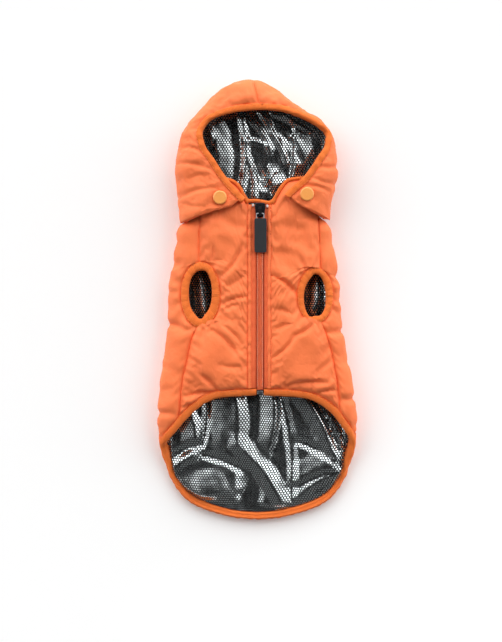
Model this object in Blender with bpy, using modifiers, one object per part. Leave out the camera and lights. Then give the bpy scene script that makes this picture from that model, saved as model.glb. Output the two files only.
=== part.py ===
"""Dog winter coat, laid flat on its back with the zip side up.

Frame: +X to the right when the coat is seen from above with its hood away
from you, +Y from tail to hood, +Z up, with Z = 0 the surface that it lies on. Sizes below are in millimetres, and
the meshes are built in metres.

The coat is two soft tubes. The body is a flattened tube from the neck to the
hem, and its surface is a function of girth (q) and length (v). The hood is a
bag, and its surface is a function of the rib number (t) and of the distance
(s) from the rim of the face opening. Every cloth piece is a patch of one of
these two surfaces with a wall of its own, so neighbours meet square.
"""

import bmesh
import bpy
import numpy as np
from functools import lru_cache
from math import pi, radians

MM = 0.001

# ---------------------------------------------------------------- driving sizes
BODY_WALL = 5.0         # padded shell of the body
HOOD_WALL = 4.0         # padded shell of the hood
LINING = 1.0            # lining cloth
LINING_SHORT = 3.0      # the hood lining stops this far from the hood's lower edge
GAP = 0.3               # clear gap between sewn pieces
LINING_GAP = 0.6        # clear gap between a shell and the lining inside it

SIDE_HEIGHT = 13.0      # height of the body's widest line above the surface
BODY_CROWN = 27.5       # top of the belly
SHOULDER = 22.0         # distance over which the belly rounds down to the side line
BELLY_FALL = 1.2        # fall of the belly from the zip to where it rounds down
HOOD_SIDE = 14.0        # height of the hood's widest line
HOOD_TOP = 33.0         # top of the hood
HOOD_SHOULDER = 22.0    # distance over which the hood rises from its side to its top

ZIP_X = 2.8             # centre line of the zip
COIL_WIDTH = 6.2
TAPE_LEFT = -8.1        # outer edges of the two zip tapes
TAPE_RIGHT = 11.4

NECK_BAND = 3.4         # widths of the bindings
HEM_BAND = 6.4
HOOD_BAND = 6.4

SNAP_DIAMETER = 12.5
SNAP_PLACES = {"left": (-33.1, 91.6), "right": (44.5, 94.7)}

PULL_WIDTH = 10.8
PULL_LENGTH = 30.4
PULL_THICK = 2.6

# Body outline: y of the side line, half-width to the left and to the right.
BODY_SIDES = {
    "y":     (112, 95, 84, 76, 71, 66, 60, 50, 30, 8, -20, -50, -80, -110, -134),
    "left":  (50, 53, 56, 58, 60, 64.5, 69, 72.5, 76, 79.5, 79.5, 84, 87, 88.5, 86.5),
    "right": (50, 51.5, 53.5, 55, 57, 61.5, 65, 67.5, 71.5, 73.5, 76, 81, 86, 89, 88),
}
# Neck edge: girth u (0 belly centre, 1 side, 2 back centre), y on the left and on the right.
NECK_EDGE = {
    "u":     (0.0, 0.17, 0.25, 0.32, 0.40, 0.50, 0.62, 0.75, 1.0, 2.0),
    "left":  (91.0, 91.0, 95.5, 101.5, 105.5, 108.5, 110.2, 111.2, 112.0, 112.0),
    "right": (91.0, 89.8, 89.3, 91.2, 97.0, 103.5, 108.8, 111.0, 112.0, 112.0),
}
# Hem edge: the belly's arch, then the tail's rounded end.
HEM_EDGE = {
    "u":     (0.0, 0.32, 0.45, 0.56, 0.68, 0.80, 0.90, 1.0,
              1.083, 1.131, 1.159, 1.204, 1.254, 1.327, 1.44, 1.648, 1.82, 2.0),
    "left":  (-85.5, -87.5, -91.5, -99.0, -110.5, -121.5, -128.5, -134.0,
              -144.0, -151.0, -158.0, -165.0, -172.0, -180.0, -187.0, -194.0, -197.6, -198.9),
    "right": (-85.5, -87.0, -88.8, -93.5, -103.0, -115.5, -125.0, -134.0,
              -144.0, -151.0, -158.0, -165.0, -172.0, -180.0, -187.0, -194.0, -197.6, -198.9),
}
# Height of the belly from the neck (v 0) to the hem (v 1).
CROWN = {"v": (0.0, 0.12, 0.4, 0.8, 0.93, 1.0), "z": (25.2, 26.1, BODY_CROWN, BODY_CROWN, 26.5, 23.5)}

# Side seams: x of the seam at each y, above and below the armhole.
SEAMS = {
    "left":  {"upper_y": (112, 70), "upper_x": (-41, -52),
              "lower_y": (-38, -52, -70, -86, -104), "lower_x": (-58, -62, -66.5, -68.5, -69.8)},
    "right": {"upper_y": (112, 70), "upper_x": (43, 55.5),
              "lower_y": (-31, -43, -65, -77, -98), "lower_x": (61.5, 65.5, 70, 72, 73.8)},
}
# Armholes: centre, half-sizes of the binding's outer edge and of the hole.
ARMHOLES = {
    "left":  {"centre": (-50.8, 4.9), "outer": (18.2, 30.0), "hole": (10.5, 21.5)},
    "right": {"centre": (52.3, 4.3), "outer": (16.6, 25.6), "hole": (10.2, 19.0)},
}
# Tail rim: how far it curls up, and over what distance.
CURL_HEIGHT = 7.0
CURL_REACH = 12.0

# Hood ribs, from the right flap's tip over the top to the left flap's tip: the rim of the face opening,
# the point where the cloth turns under, and the rib's end at the hood's lower edge. A flap's ribs end on top.
HOOD_RIBS = (
    # rim x, rim y, turn x, turn y, end x, end y
    (24.5, 95.0, 28.5, 91.0, 28.5, 91.0),
    (29.0, 99.5, 46.0, 81.0, 46.0, 81.0),
    (34.0, 104.0, 65.3, 72.4, 65.3, 72.4),
    (41.0, 110.0, 66.3, 84.0, 58.5, 86.0),
    (48.0, 119.0, 69.0, 97.5, 53.5, 103.0),
    (55.0, 129.0, 71.8, 115.0, 47.0, 112.9),
    (62.0, 139.0, 71.0, 132.0, 36.0, 112.9),
    (64.0, 149.5, 68.5, 146.5, 27.0, 112.9),
    (54.0, 158.3, 57.5, 162.0, 19.0, 112.9),
    (36.0, 166.4, 38.7, 173.3, 11.5, 112.9),
    (19.0, 169.4, 20.0, 187.7, 5.5, 112.9),
    (2.5, 169.7, -3.0, 198.3, 0.0, 112.9),
    (-14.0, 168.4, -20.0, 195.7, -6.0, 112.9),
    (-29.0, 165.5, -39.0, 183.6, -13.0, 112.9),
    (-42.5, 160.5, -56.0, 166.0, -21.0, 112.9),
    (-49.0, 149.5, -67.5, 148.5, -29.0, 112.9),
    (-46.0, 138.0, -71.5, 130.0, -38.0, 112.9),
    (-38.0, 126.0, -73.0, 115.0, -47.5, 112.9),
    (-30.0, 113.5, -71.5, 97.5, -54.0, 103.0),
    (-23.0, 104.5, -69.8, 83.0, -60.0, 85.0),
    (-17.5, 98.5, -68.0, 69.4, -68.0, 69.4),
    (-14.0, 95.0, -41.0, 79.0, -41.0, 79.0),
    (-10.8, 91.6, -13.8, 86.1, -13.8, 86.1),
)
CENTRE_RIB = 11
# The outline goes on down the body below the two flap corners.
BELOW_RIGHT_FLAP = ((63.3, 49.2), (65.2, 71.2))
BELOW_LEFT_FLAP = ((-67.8, 68.0), (-65.0, 47.0))

COLOURS = {
    "shell": ((0.98, 0.24, 0.085), 0.55, 0.0),
    "binding": ((0.90, 0.18, 0.045), 0.7, 0.0),
    "lining": ((0.02, 0.02, 0.025), 0.4, 0.0),
    "zip": ((0.85, 0.13, 0.05), 0.6, 0.0),
    "snap": ((0.95, 0.37, 0.10), 0.35, 0.0),
    "metal": ((0.35, 0.35, 0.37), 0.3, 1.0),
    "slider": ((0.02, 0.02, 0.022), 0.2, 0.6),
    "rubber": ((0.03, 0.032, 0.036), 0.5, 0.0),
    "stop": ((0.85, 0.80, 0.78), 0.35, 0.0),
}


# ---------------------------------------------------------------- curves through short tables
def smooth(xs, ys, x):
    """A curve through the rows of a table that never overshoots them.

    Each stretch is a cubic. Its slope at a row is the harmonic mean of the two
    neighbouring slopes, or zero at a peak.
    """
    xs = np.asarray(xs, float)
    ys = np.asarray(ys, float)
    if xs[0] > xs[-1]:
        xs, ys = xs[::-1], ys[::-1]
    steps = np.diff(xs)
    slopes = np.diff(ys) / steps
    tangents = np.zeros_like(ys)
    before, after = slopes[:-1], slopes[1:]
    same_way = before * after > 0
    tangents[1:-1][same_way] = 2 * before[same_way] * after[same_way] / (before + after)[same_way]
    tangents[0], tangents[-1] = slopes[0], slopes[-1]
    x = np.clip(x, xs[0], xs[-1])
    i = np.clip(np.searchsorted(xs, x) - 1, 0, len(steps) - 1)
    h = steps[i]
    k = (x - xs[i]) / h
    return (ys[i] * (1 + 2 * k) * (1 - k) ** 2 + tangents[i] * h * k * (1 - k) ** 2
            + ys[i + 1] * k * k * (3 - 2 * k) + tangents[i + 1] * h * k * k * (k - 1))


def unit_normals(along_a, along_b):
    """Unit vectors square to two fields of tangents."""
    n = np.cross(along_a, along_b)
    return n / np.linalg.norm(n, axis=-1, keepdims=True)


# ---------------------------------------------------------------- the body's surface
def rounded_shoulder():
    """A quarter ellipse from the belly's flat (0) to the side line (1), by the share of its length."""
    angle = np.linspace(0, pi / 2, 121)
    run = np.hypot(np.diff(SHOULDER * np.sin(angle)), np.diff((BODY_CROWN - SIDE_HEIGHT) * np.cos(angle)))
    share = np.concatenate(([0], np.cumsum(run)))
    return share / share[-1], angle, share[-1]


SHOULDER_SHARE, SHOULDER_ANGLE, SHOULDER_LENGTH = rounded_shoulder()
BELLY_FLAT = 56.0                   # usual half-width of the flatter middle of the belly
FLAT_SHARE = BELLY_FLAT / (BELLY_FLAT + SHOULDER_LENGTH)
QUARTER = SIDE_HEIGHT * pi / 2      # length of the rounded lower side
UNDER = 85.4                        # length from the side line to the back's centre line


def girth(q):
    """Split the girth coordinate: q 0 belly centre, 1 right side, 2 back centre, 3 left side."""
    q = np.mod(q, 4)
    return np.minimum(q, 4 - q), q < 2


def by_side(table, key, at, right):
    """Read a table's left or right column."""
    return np.where(right, smooth(table[key], table["right"], at), smooth(table[key], table["left"], at))


def body_point(q, v):
    """The body's outer surface, for q round it and v from the neck edge (0) to the hem edge (1).

    The belly is nearly flat and rounds down to the side line in a quarter
    ellipse. The lower side is a quarter circle that runs into a flat back,
    and the tail's rim curls up.
    """
    u, right = girth(q)
    neck = by_side(NECK_EDGE, "u", u, right)
    hem = by_side(HEM_EDGE, "u", u, right)
    y = neck + (hem - neck) * v
    side_y = NECK_EDGE["left"][-1] + (HEM_EDGE["left"][7] - NECK_EDGE["left"][-1]) * v
    width = by_side(BODY_SIDES, "y", side_y, right)
    crown = smooth(CROWN["v"], CROWN["z"], v)

    bend = np.interp((u - FLAT_SHARE) / (1 - FLAT_SHARE), SHOULDER_SHARE, SHOULDER_ANGLE)
    middle = np.clip(u / FLAT_SHARE, 0, 1)
    belly_x = (width - SHOULDER) * middle + SHOULDER * np.sin(bend)
    belly_z = SIDE_HEIGHT + (crown - BELLY_FALL * middle ** 2 - SIDE_HEIGHT) * np.cos(bend)

    along = np.clip(u - 1, 0, 1) * UNDER
    turn = np.clip(along / SIDE_HEIGHT, 0, pi / 2)
    flat = np.clip((along - QUARTER) / (UNDER - QUARTER), 0, 1)
    back_x = (width - SIDE_HEIGHT) * (1 - flat) + SIDE_HEIGHT * np.cos(turn)
    back_z = SIDE_HEIGHT * (1 - np.sin(turn))
    to_rim = (1 - v) * (neck - hem)
    near_rim = np.clip(1 - to_rim / CURL_REACH, 0, 1)
    back_z = back_z + CURL_HEIGHT * (1 - np.sqrt(1 - near_rim ** 2)) * (1 - back_z / SIDE_HEIGHT)

    on_belly = u <= 1
    x = np.where(on_belly, belly_x, back_x) * np.where(right, 1, -1)
    return np.stack([x, y, np.where(on_belly, belly_z, back_z)], axis=-1)


def body(q, v):
    """Points of the body's surface and its outward normals."""
    q, v = np.broadcast_arrays(np.asarray(q, float), np.asarray(v, float))
    step = 1e-3
    normals = unit_normals(body_point(q, v + step) - body_point(q, v - step),
                           body_point(q + step, v) - body_point(q - step, v))
    return body_point(q, v), normals


def locate(x, y):
    """The (q, v) of a point on the belly side, from its x and y, by repeated substitution."""
    x, y = np.broadcast_arrays(np.asarray(x, float), np.asarray(y, float))
    right = x >= 0
    u = np.abs(x) / 80
    v = np.zeros_like(u)
    for _ in range(60):
        neck = by_side(NECK_EDGE, "u", u, right)
        hem = by_side(HEM_EDGE, "u", u, right)
        v = 0.5 * v + 0.5 * (neck - y) / (neck - hem)
        side_y = NECK_EDGE["left"][-1] + (HEM_EDGE["left"][7] - NECK_EDGE["left"][-1]) * v
        width = by_side(BODY_SIDES, "y", side_y, right)
        past = np.clip((np.abs(x) - (width - SHOULDER)) / SHOULDER, 0, 1)
        bend = np.interp(np.arcsin(past), SHOULDER_ANGLE, SHOULDER_SHARE)
        middle = np.clip(np.abs(x) / (width - SHOULDER), 0, 1)
        u = 0.5 * u + 0.5 * (FLAT_SHARE * middle + (1 - FLAT_SHARE) * bend)
    return np.where(right, u, 4 - u), v


def inset(q, band, at_hem):
    """The v that lies a band's width in from the neck or hem edge, measured square to that edge."""
    u, right = girth(np.asarray(q, float))
    edge_v = 1.0 if at_hem else 0.0
    step = 2e-3
    run = body_point(q + step, edge_v) - body_point(q - step, edge_v)
    slope = run[..., 1] / np.linalg.norm(run[..., [0, 2]], axis=-1)
    length = by_side(NECK_EDGE, "u", u, right) - by_side(HEM_EDGE, "u", u, right)
    share = band * np.sqrt(1 + slope ** 2) / length
    return 1 - share if at_hem else share


# ---------------------------------------------------------------- the hood's surface
RIBS = np.array(HOOD_RIBS)
RIB_NUMBERS = np.arange(len(RIBS))
RIGHT_CORNER, LEFT_CORNER = 2, len(RIBS) - 3     # ribs at the two flaps' lower corners


def rib(t):
    """Rim, turn and end of the rib at number t, on smooth curves through the table."""
    return [np.stack([smooth(RIB_NUMBERS, RIBS[:, 2 * i], t), smooth(RIB_NUMBERS, RIBS[:, 2 * i + 1], t)], -1)
            for i in range(3)]


HOOD_OUTLINE = np.concatenate([
    np.linspace(*BELOW_RIGHT_FLAP, 60),
    rib(np.linspace(RIGHT_CORNER, LEFT_CORNER, 2400))[1],
    np.linspace(*BELOW_LEFT_FLAP, 60),
])


OUTLINE_RUN = np.gradient(HOOD_OUTLINE, axis=0)
OUTLINE_INWARD = np.column_stack([-OUTLINE_RUN[:, 1], OUTLINE_RUN[:, 0]])
OUTLINE_INWARD /= np.linalg.norm(OUTLINE_INWARD, axis=1, keepdims=True)


def hood_top(points):
    """Height and outward normals of the hood's upper side: a quarter ellipse of the distance in from the outline."""
    offsets = points[:, None, :] - HOOD_OUTLINE[None]
    nearest = np.linalg.norm(offsets, axis=-1).argmin(axis=1)
    inward = OUTLINE_INWARD[nearest]
    away = np.maximum(0, (offsets[np.arange(len(points)), nearest] * inward).sum(axis=1))
    left = np.clip(1 - away / HOOD_SHOULDER, 0, 1)
    rise = HOOD_TOP - HOOD_SIDE
    height = HOOD_SIDE + rise * np.sqrt(1 - left ** 2)
    # (left * rise / shoulder, sqrt(1 - left^2)) is the slope as a fraction, kept finite at the outline
    normals = np.column_stack([-inward * (left * rise / HOOD_SHOULDER)[:, None], np.sqrt(1 - left ** 2)])
    return height, normals / np.linalg.norm(normals, axis=1, keepdims=True)


@lru_cache(maxsize=None)
def hood_rib(t):
    """One rib: its run of lengths, points and normals, and the length at its turn.

    It goes over the top from the rim to the turn, then round a quarter circle
    and flat along the underside to its end.
    """
    rim, turn, end = rib(t)
    if t <= RIGHT_CORNER or t >= LEFT_CORNER:
        end = turn
    share = np.sin(np.linspace(0, pi / 2, 60))[:, None]
    over = rim + (turn - rim) * share
    height, normals = hood_top(over)
    points = np.column_stack([over, height])
    turn_at = len(points) - 1
    reach = np.linalg.norm(end - turn)
    if reach > 1e-6:
        last = np.arccos(max(0.0, 1 - reach / HOOD_SIDE))
        angle = np.linspace(0, last, 24)[1:]
        out = HOOD_SIDE * (1 - np.cos(angle))
        if reach > out[-1] + 1e-6:
            out = np.concatenate([out, np.linspace(out[-1], reach, 24)[1:]])
            angle = np.concatenate([angle, np.full(23, pi / 2)])
        under = turn + (end - turn) / reach * out[:, None]
        points = np.concatenate([points, np.column_stack([under, HOOD_SIDE * (1 - np.sin(angle))])])
        outward = normals[turn_at]
        side_ways = outward * np.cos(angle)[:, None]
        side_ways[:, 2] = -np.sin(angle)
        normals = np.concatenate([normals, side_ways])
    run = np.concatenate(([0], np.cumsum(np.linalg.norm(np.diff(points, axis=0), axis=1))))
    return run, points, normals, run[turn_at]


def hood(t, s):
    """Points and outward normals of the hood's surface at rib number t and distance s from the rim."""
    t, s = np.broadcast_arrays(np.asarray(t, float), np.asarray(s, float))
    found = np.empty(t.shape + (6,))
    for value in np.unique(t):
        here = t == value
        run, points, normals, _ = hood_rib(float(value))
        for axis in range(3):
            found[here, axis] = np.interp(s[here], run, points[:, axis])
            found[here, axis + 3] = np.interp(s[here], run, normals[:, axis])
    normals = found[..., 3:]
    return found[..., :3], normals / np.linalg.norm(normals, axis=-1, keepdims=True)


def hood_columns(t, start):
    """Distances from the rim of a panel's columns on rib t, closer together where the cloth turns under."""
    run, _, _, turn = hood_rib(float(t))
    last = run[-1]
    turn_share = np.clip((turn - start) / (last - start), 0, 1)
    even = np.linspace(0, 1, 10)
    key = (0, 0.16, 0.28, 0.37, 0.46, 0.56, 0.67, 0.80, 1)
    over = [0, 0.45 * turn_share, 0.75 * turn_share, 0.9 * turn_share, turn_share]
    under = [turn_share + k * (1 - turn_share) for k in (0.09, 0.20, 0.40, 1)]
    crowded = np.interp(even, key, over + under)
    mix = np.clip((1 - turn_share) / 0.3, 0, 1)
    return start + (last - start) * (even + (crowded - even) * mix)


# ---------------------------------------------------------------- solids
def material(slot):
    """A Principled BSDF with a colour, a roughness and a metallic value."""
    found = bpy.data.materials.get(slot)
    if found:
        return found
    colour, roughness, metallic = COLOURS[slot]
    new = bpy.data.materials.new(slot)
    new.use_nodes = True
    shader = new.node_tree.nodes["Principled BSDF"]
    shader.inputs["Base Color"].default_value = (*colour, 1)
    shader.inputs["Roughness"].default_value = roughness
    shader.inputs["Metallic"].default_value = metallic
    new.diffuse_color = (*colour, 1)
    return new


def add_object(name, mesh, slot, coat):
    mesh.materials.append(material(slot))
    obj = bpy.data.objects.new(name, mesh)
    coat.objects.link(obj)
    return obj


def mesh_from(name, vertices, faces, soft_angle=50):
    """A smooth-shaded mesh from millimetre points, with its faces turned outwards."""
    mesh = bpy.data.meshes.new(name)
    mesh.from_pydata((np.asarray(vertices) * MM).tolist(), [], faces)
    work = bmesh.new()
    work.from_mesh(mesh)
    bmesh.ops.recalc_face_normals(work, faces=work.faces)
    if work.calc_volume(signed=True) < 0:
        bmesh.ops.reverse_faces(work, faces=work.faces)
    work.to_mesh(mesh)
    work.free()
    mesh.shade_smooth()
    mesh.set_sharp_from_angle(angle=radians(soft_angle))
    return mesh


def wall(name, points, normals, depth, thick, slot, coat):
    """A closed wall: a grid of points sunk by depth, and the same grid sunk by depth + thick."""
    rows, columns = points.shape[:2]
    outer = points - normals * depth
    inner = points - normals * (depth + thick)
    vertices = np.concatenate([outer.reshape(-1, 3), inner.reshape(-1, 3)])
    number = np.arange(rows * columns).reshape(rows, columns)
    a, b = number[:-1, :-1].ravel(), number[:-1, 1:].ravel()
    c, d = number[1:, 1:].ravel(), number[1:, :-1].ravel()
    size = rows * columns
    halves = np.concatenate([np.column_stack([a, b, c]), np.column_stack([a, c, d])])
    faces = halves.tolist() + (halves[:, ::-1] + size).tolist()
    border = np.concatenate([number[0, :], number[1:, -1], number[-1, -2::-1], number[-2:0:-1, 0]])
    following = np.roll(border, -1)
    ahead = rows + columns - 2      # rim faces whose rows or columns count up; the rest count down
    for b, f in zip(border[:ahead].tolist(), following[:ahead].tolist()):
        faces += [[b, b + size, f + size], [b, f + size, f]]
    for b, f in zip(border[ahead:].tolist(), following[ahead:].tolist()):
        faces += [[b, b + size, f], [f, b + size, f + size]]
    return add_object(name, mesh_from(name, vertices, faces), slot, coat)


BAND_SECTION = (
    # share of the band's width from its open edge, height above the cloth
    (0.00, -0.9), (0.40, 0.7), (1.00, -0.5),
)


def band(name, surface, edge, inner, thick, slot, coat, closed=False):
    """A binding: a rounded section carried along an edge, from its open edge to its inner line on the surface."""
    upper = list(BAND_SECTION)
    lower = [(share, -thick - min(height, 0)) for share, height in reversed(BAND_SECTION)]
    section = upper + lower
    edge, inner = np.asarray(edge, float), np.asarray(inner, float)
    rings = []
    for share, height in section:
        place = edge + (inner - edge) * share
        points, normals = surface(place[:, 0], place[:, 1])
        rings.append(points + normals * height)
    rings = np.stack(rings, axis=1)
    rings[..., 2] = np.maximum(rings[..., 2], 0)
    stations, sides = rings.shape[:2]
    number = np.arange(stations * sides).reshape(stations, sides)
    following = np.roll(number, -1, axis=0) if closed else number[1:]
    here = number if closed else number[:-1]
    beside, ahead = np.roll(here, -1, axis=1), np.roll(following, -1, axis=1)
    faces = np.stack([here, beside, ahead, here, ahead, following], -1).reshape(-1, 3).tolist()
    if not closed:
        faces += [number[0, ::-1].tolist(), number[-1].tolist()]
    return add_object(name, mesh_from(name, rings.reshape(-1, 3), faces), slot, coat)


def coons(left, right, start, finish, across, down):
    """A grid of surface coordinates between four edges (the Coons patch).

    left and right run from start to finish with the shares in down; start and
    finish run from left to right with the shares in across.
    """
    a = np.asarray(across)[None, :, None]
    b = np.asarray(down)[:, None, None]
    left, right = left[:, None, :], right[:, None, :]
    start, finish = start[None], finish[None]
    ruled = (1 - a) * left + a * right + (1 - b) * start + b * finish
    corners = ((1 - a) * (1 - b) * left[:1] + a * (1 - b) * right[:1]
               + (1 - a) * b * left[-1:] + a * b * right[-1:])
    return ruled - corners


# ---------------------------------------------------------------- the body's pieces
BELLY_SHARES = (0, 0.11, 0.24, 0.37, 0.50, 0.65, 0.82, 1)     # columns of a belly panel, zip to seam
ARMHOLE_ANGLES = np.radians(np.linspace(90, -90, 10))
UPPER_ROWS = 5
LOWER_ROWS = 9
# Columns of the back panel past the side lines: girth, as the distance from the side line.
BACK_GIRTH = (-0.08, 0.0, 0.08, 0.17, 0.26, 0.34, 0.43, 0.54, 0.68, 0.84)


def seam_and_armhole(side, belly, clear):
    """(q, v) of a panel's outer edge: down the seam, round the armhole, and down the seam again."""
    seam, hole = SEAMS[side], ARMHOLES[side]
    (cx, cy), (rx, ry) = hole["centre"], hole["outer"]
    rx, ry = rx + clear, ry + clear
    upper_y = np.linspace(seam["upper_y"][0] - NECK_BAND - 4, cy + ry, UPPER_ROWS)
    upper_x = smooth(seam["upper_y"] + (cy + ry,), seam["upper_x"] + (cx,), upper_y)
    lower_y = np.linspace(cy - ry, seam["lower_y"][-1], LOWER_ROWS)
    lower_x = smooth((cy - ry,) + seam["lower_y"], (cx,) + seam["lower_x"], lower_y)
    outwards = np.sign(cx) * (-1 if belly else 1)
    round_x = cx + outwards * rx * np.cos(ARMHOLE_ANGLES)
    round_y = cy + ry * np.sin(ARMHOLE_ANGLES)
    x = np.concatenate([upper_x, round_x[1:-1], lower_x])
    y = np.concatenate([upper_y, round_y[1:-1], lower_y])
    q, v = locate(x, y)
    aside = GAP / 80 * (-np.sign(cx) if belly else np.sign(cx))
    q = q + aside
    v[0] = inset(q[0], NECK_BAND + GAP, False)
    v[-1] = inset(q[-1], HEM_BAND + 2 * GAP, True)
    return np.column_stack([q, v])


def edge_line(q, band_width, at_hem):
    """(q, v) along the neck or hem edge, a band's width in from it."""
    return np.column_stack([q, inset(q, band_width, at_hem)])


def belly_grid(side):
    """Surface coordinates of a belly panel, from the zip to the seam."""
    outer = seam_and_armhole(side, True, 2 * GAP)
    zip_x = TAPE_RIGHT + GAP if side == "right" else TAPE_LEFT - GAP
    rows = body_point(outer[:, 0], outer[:, 1])[:, 1]
    top_q = locate(zip_x, 88.0)[0]
    low_q = locate(zip_x, -80.0)[0]
    share = (rows - rows[0]) / (rows[-1] - rows[0])
    top_v, low_v = inset(top_q, NECK_BAND + GAP, False), inset(low_q, HEM_BAND + 2 * GAP, True)
    top_y, low_y = body_point(top_q, top_v)[1], body_point(low_q, low_v)[1]
    inner = np.column_stack(locate(zip_x, top_y + (low_y - top_y) * share))
    shares = np.array(BELLY_SHARES)
    neck = edge_line(inner[0, 0] + (outer[0, 0] - inner[0, 0]) * shares, NECK_BAND + GAP, False)
    hem = edge_line(inner[-1, 0] + (outer[-1, 0] - inner[-1, 0]) * shares, HEM_BAND + 2 * GAP, True)
    inner[0], inner[-1] = neck[0], hem[0]
    grid = coons(inner, outer, neck, hem, shares, share)
    return grid if side == "right" else grid[:, ::-1]


def back_grid():
    """Surface coordinates of the back panel, from the right seam round the back to the left seam.

    Only the outermost columns follow the seams and armholes. The others keep
    to one girth each, and share out the rows between the neck and the hem.
    """
    right, left = (seam_and_armhole(side, False, 2 * GAP) for side in ("right", "left"))
    half = 1 + np.array(BACK_GIRTH)
    fixed = np.concatenate([half, [2], 4 - half[::-1]])
    rows = len(right)
    q = np.column_stack([right[:, 0], (right[:, 0] + fixed[0]) / 2, np.tile(fixed, (rows, 1)),
                         (left[:, 0] + fixed[-1]) / 2, left[:, 0]])
    neck = inset(q, NECK_BAND + GAP, False)
    hem = inset(q, HEM_BAND + 6 * GAP, True)
    across = (q - q[:, :1]) / (q[:, -1:] - q[:, :1])
    down = [((side[:, 1] - side[0, 1]) / (side[-1, 1] - side[0, 1]))[:, None] for side in (right, left)]
    share = down[0] * (1 - across) + down[1] * across
    v = neck + (hem - neck) * share
    v[:-1, 0], v[:-1, -1] = right[:-1, 1], left[:-1, 1]
    v[:, 1] += 0.5 * (v[:, 0] - (neck + (hem - neck) * share)[:, 0])
    v[:, -2] += 0.5 * (v[:, -1] - (neck + (hem - neck) * share)[:, -1])
    return np.stack([q, v], axis=-1)


def add_body(coat):
    grids = {"belly_left": belly_grid("left"), "belly_right": belly_grid("right"), "back_panel": back_grid()}
    for name, grid in grids.items():
        points, normals = body(grid[..., 0], grid[..., 1])
        wall(name, points, normals, 0.0, BODY_WALL, "shell", coat)
    points, normals = body(grids["back_panel"][..., 0], grids["back_panel"][..., 1])
    wall("back_lining", points, normals, BODY_WALL + LINING_GAP, LINING, "lining", coat)
    return grids


def add_edge_bindings(grids, coat):
    """Neck and hem bindings, each one length that starts and ends at the zip."""
    for name, row, width, at_hem, half_gap in (
            ("neck_binding", 0, NECK_BAND, False, GAP / 2),
            ("hem_binding", -1, HEM_BAND, True, COIL_WIDTH / 2 + GAP)):
        seam = [grids["belly_right"][row, :, 0], grids["back_panel"][row, 1:-1, 0],
                grids["belly_left"][row, :, 0]]
        y = 88.0 if row == 0 else -82.0
        first, last = locate(ZIP_X + half_gap, y)[0], locate(ZIP_X - half_gap, y)[0]
        last = last + 4 if last < 2 else last
        q = np.concatenate([[first], *seam, [last]])
        edge = np.column_stack([q, np.full_like(q, 1.0 if at_hem else 0.0)])
        band(name, body, edge, edge_line(q, width, at_hem), BODY_WALL, "binding", coat)


def add_armhole_bindings(coat):
    for side, hole in ARMHOLES.items():
        cx, cy = hole["centre"]
        angles = np.concatenate([ARMHOLE_ANGLES, pi - ARMHOLE_ANGLES[::-1][1:-1]])
        lines = []
        for rx, ry in (hole["hole"], hole["outer"]):
            lines.append(np.column_stack(locate(cx + rx * np.cos(angles), cy + ry * np.sin(angles))))
        band(f"armhole_binding_{side}", body, *lines, BODY_WALL, "binding", coat, closed=True)


# ---------------------------------------------------------------- the hood's pieces
def hood_stations(first, last):
    """Rib numbers of a panel's rows, closest together at the flap corners and wider apart over the top."""
    near_tip = np.array([0.6, 1, 1.35, 1.6, 1.8, 2, 2.2, 2.45, 2.75, 3.1, 3.6, 4.2, 5, 6, 6.6, 7, 7.4, 8, 8.5, 9, 9.5])
    every = np.concatenate([near_tip, [10, 10.5, CENTRE_RIB, 11.5, 12], len(RIBS) - 1 - near_tip[::-1]])
    inside = every[(every > first + 0.1) & (every < last - 0.1)]
    return np.concatenate([[first], inside, [last]])


def hood_grid(stations, short=0.0):
    """Rib numbers and distances of a panel's points; a panel can stop short of the hood's lower edge."""
    s = np.stack([hood_columns(t, HOOD_BAND + GAP) for t in stations])
    s[:, -1] -= np.minimum(short, 0.6 * (s[:, -1] - s[:, -2]))
    return np.broadcast_to(stations[:, None], s.shape), s


def add_hood(coat):
    tip = 0.35
    last = len(RIBS) - 1
    seam = GAP / 2 / 8
    for name, first, end in (("hood_right", tip, CENTRE_RIB - seam), ("hood_left", CENTRE_RIB + seam, last - tip)):
        points, normals = hood(*hood_grid(hood_stations(first, end)))
        wall(name, points, normals, 0.0, HOOD_WALL, "shell", coat)
    points, normals = hood(*hood_grid(hood_stations(tip, last - tip), LINING_SHORT))
    wall("hood_lining", points, normals, HOOD_WALL + LINING_GAP, LINING, "lining", coat)
    stations = np.concatenate([[0.0], hood_stations(tip, last - tip), [float(last)]])
    edge = np.column_stack([stations, np.zeros_like(stations)])
    inner = np.column_stack([stations, np.full_like(stations, HOOD_BAND)])
    inner[0, 1] = inner[-1, 1] = 5.2
    band("hood_binding", hood, edge, inner, HOOD_WALL, "binding", coat)


# ---------------------------------------------------------------- zip and snaps
def belly_height(x, y):
    q, v = locate(x, y)
    return float(body_point(q, v)[..., 2])


def strip(name, x_low, x_high, y_high, y_low, section, slot, coat):
    """A straight strip down the belly: section rows are (share across, height over the cloth)."""
    y = np.linspace(y_high, y_low, 13)
    x = np.array([x_low + (x_high - x_low) * share for share, _ in section])
    height = np.array([up for _, up in section])
    q, v = locate(x[None, :], y[:, None])
    points, normals = body(q, v)
    rings = points + normals * height[None, :, None]
    stations, sides = rings.shape[:2]
    number = np.arange(stations * sides).reshape(stations, sides)
    faces = np.stack([number[:-1], np.roll(number[:-1], -1, 1), np.roll(number[1:], -1, 1), number[1:]], -1)
    faces = faces.reshape(-1, 4).tolist() + [number[0, ::-1].tolist(), number[-1].tolist()]
    return add_object(name, mesh_from(name, rings.reshape(-1, 3), faces), slot, coat)


TAPE_SECTION = ((0, -0.8), (1, -0.8), (1, -2.2), (0, -2.2))
COIL_SECTION = ((0.0, -1.2), (0.12, 0.1), (0.35, 0.7), (0.65, 0.7), (0.88, 0.1), (1.0, -1.2),
                (0.85, -2.4), (0.15, -2.4))
ZIP_TOP = 85.8


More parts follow.
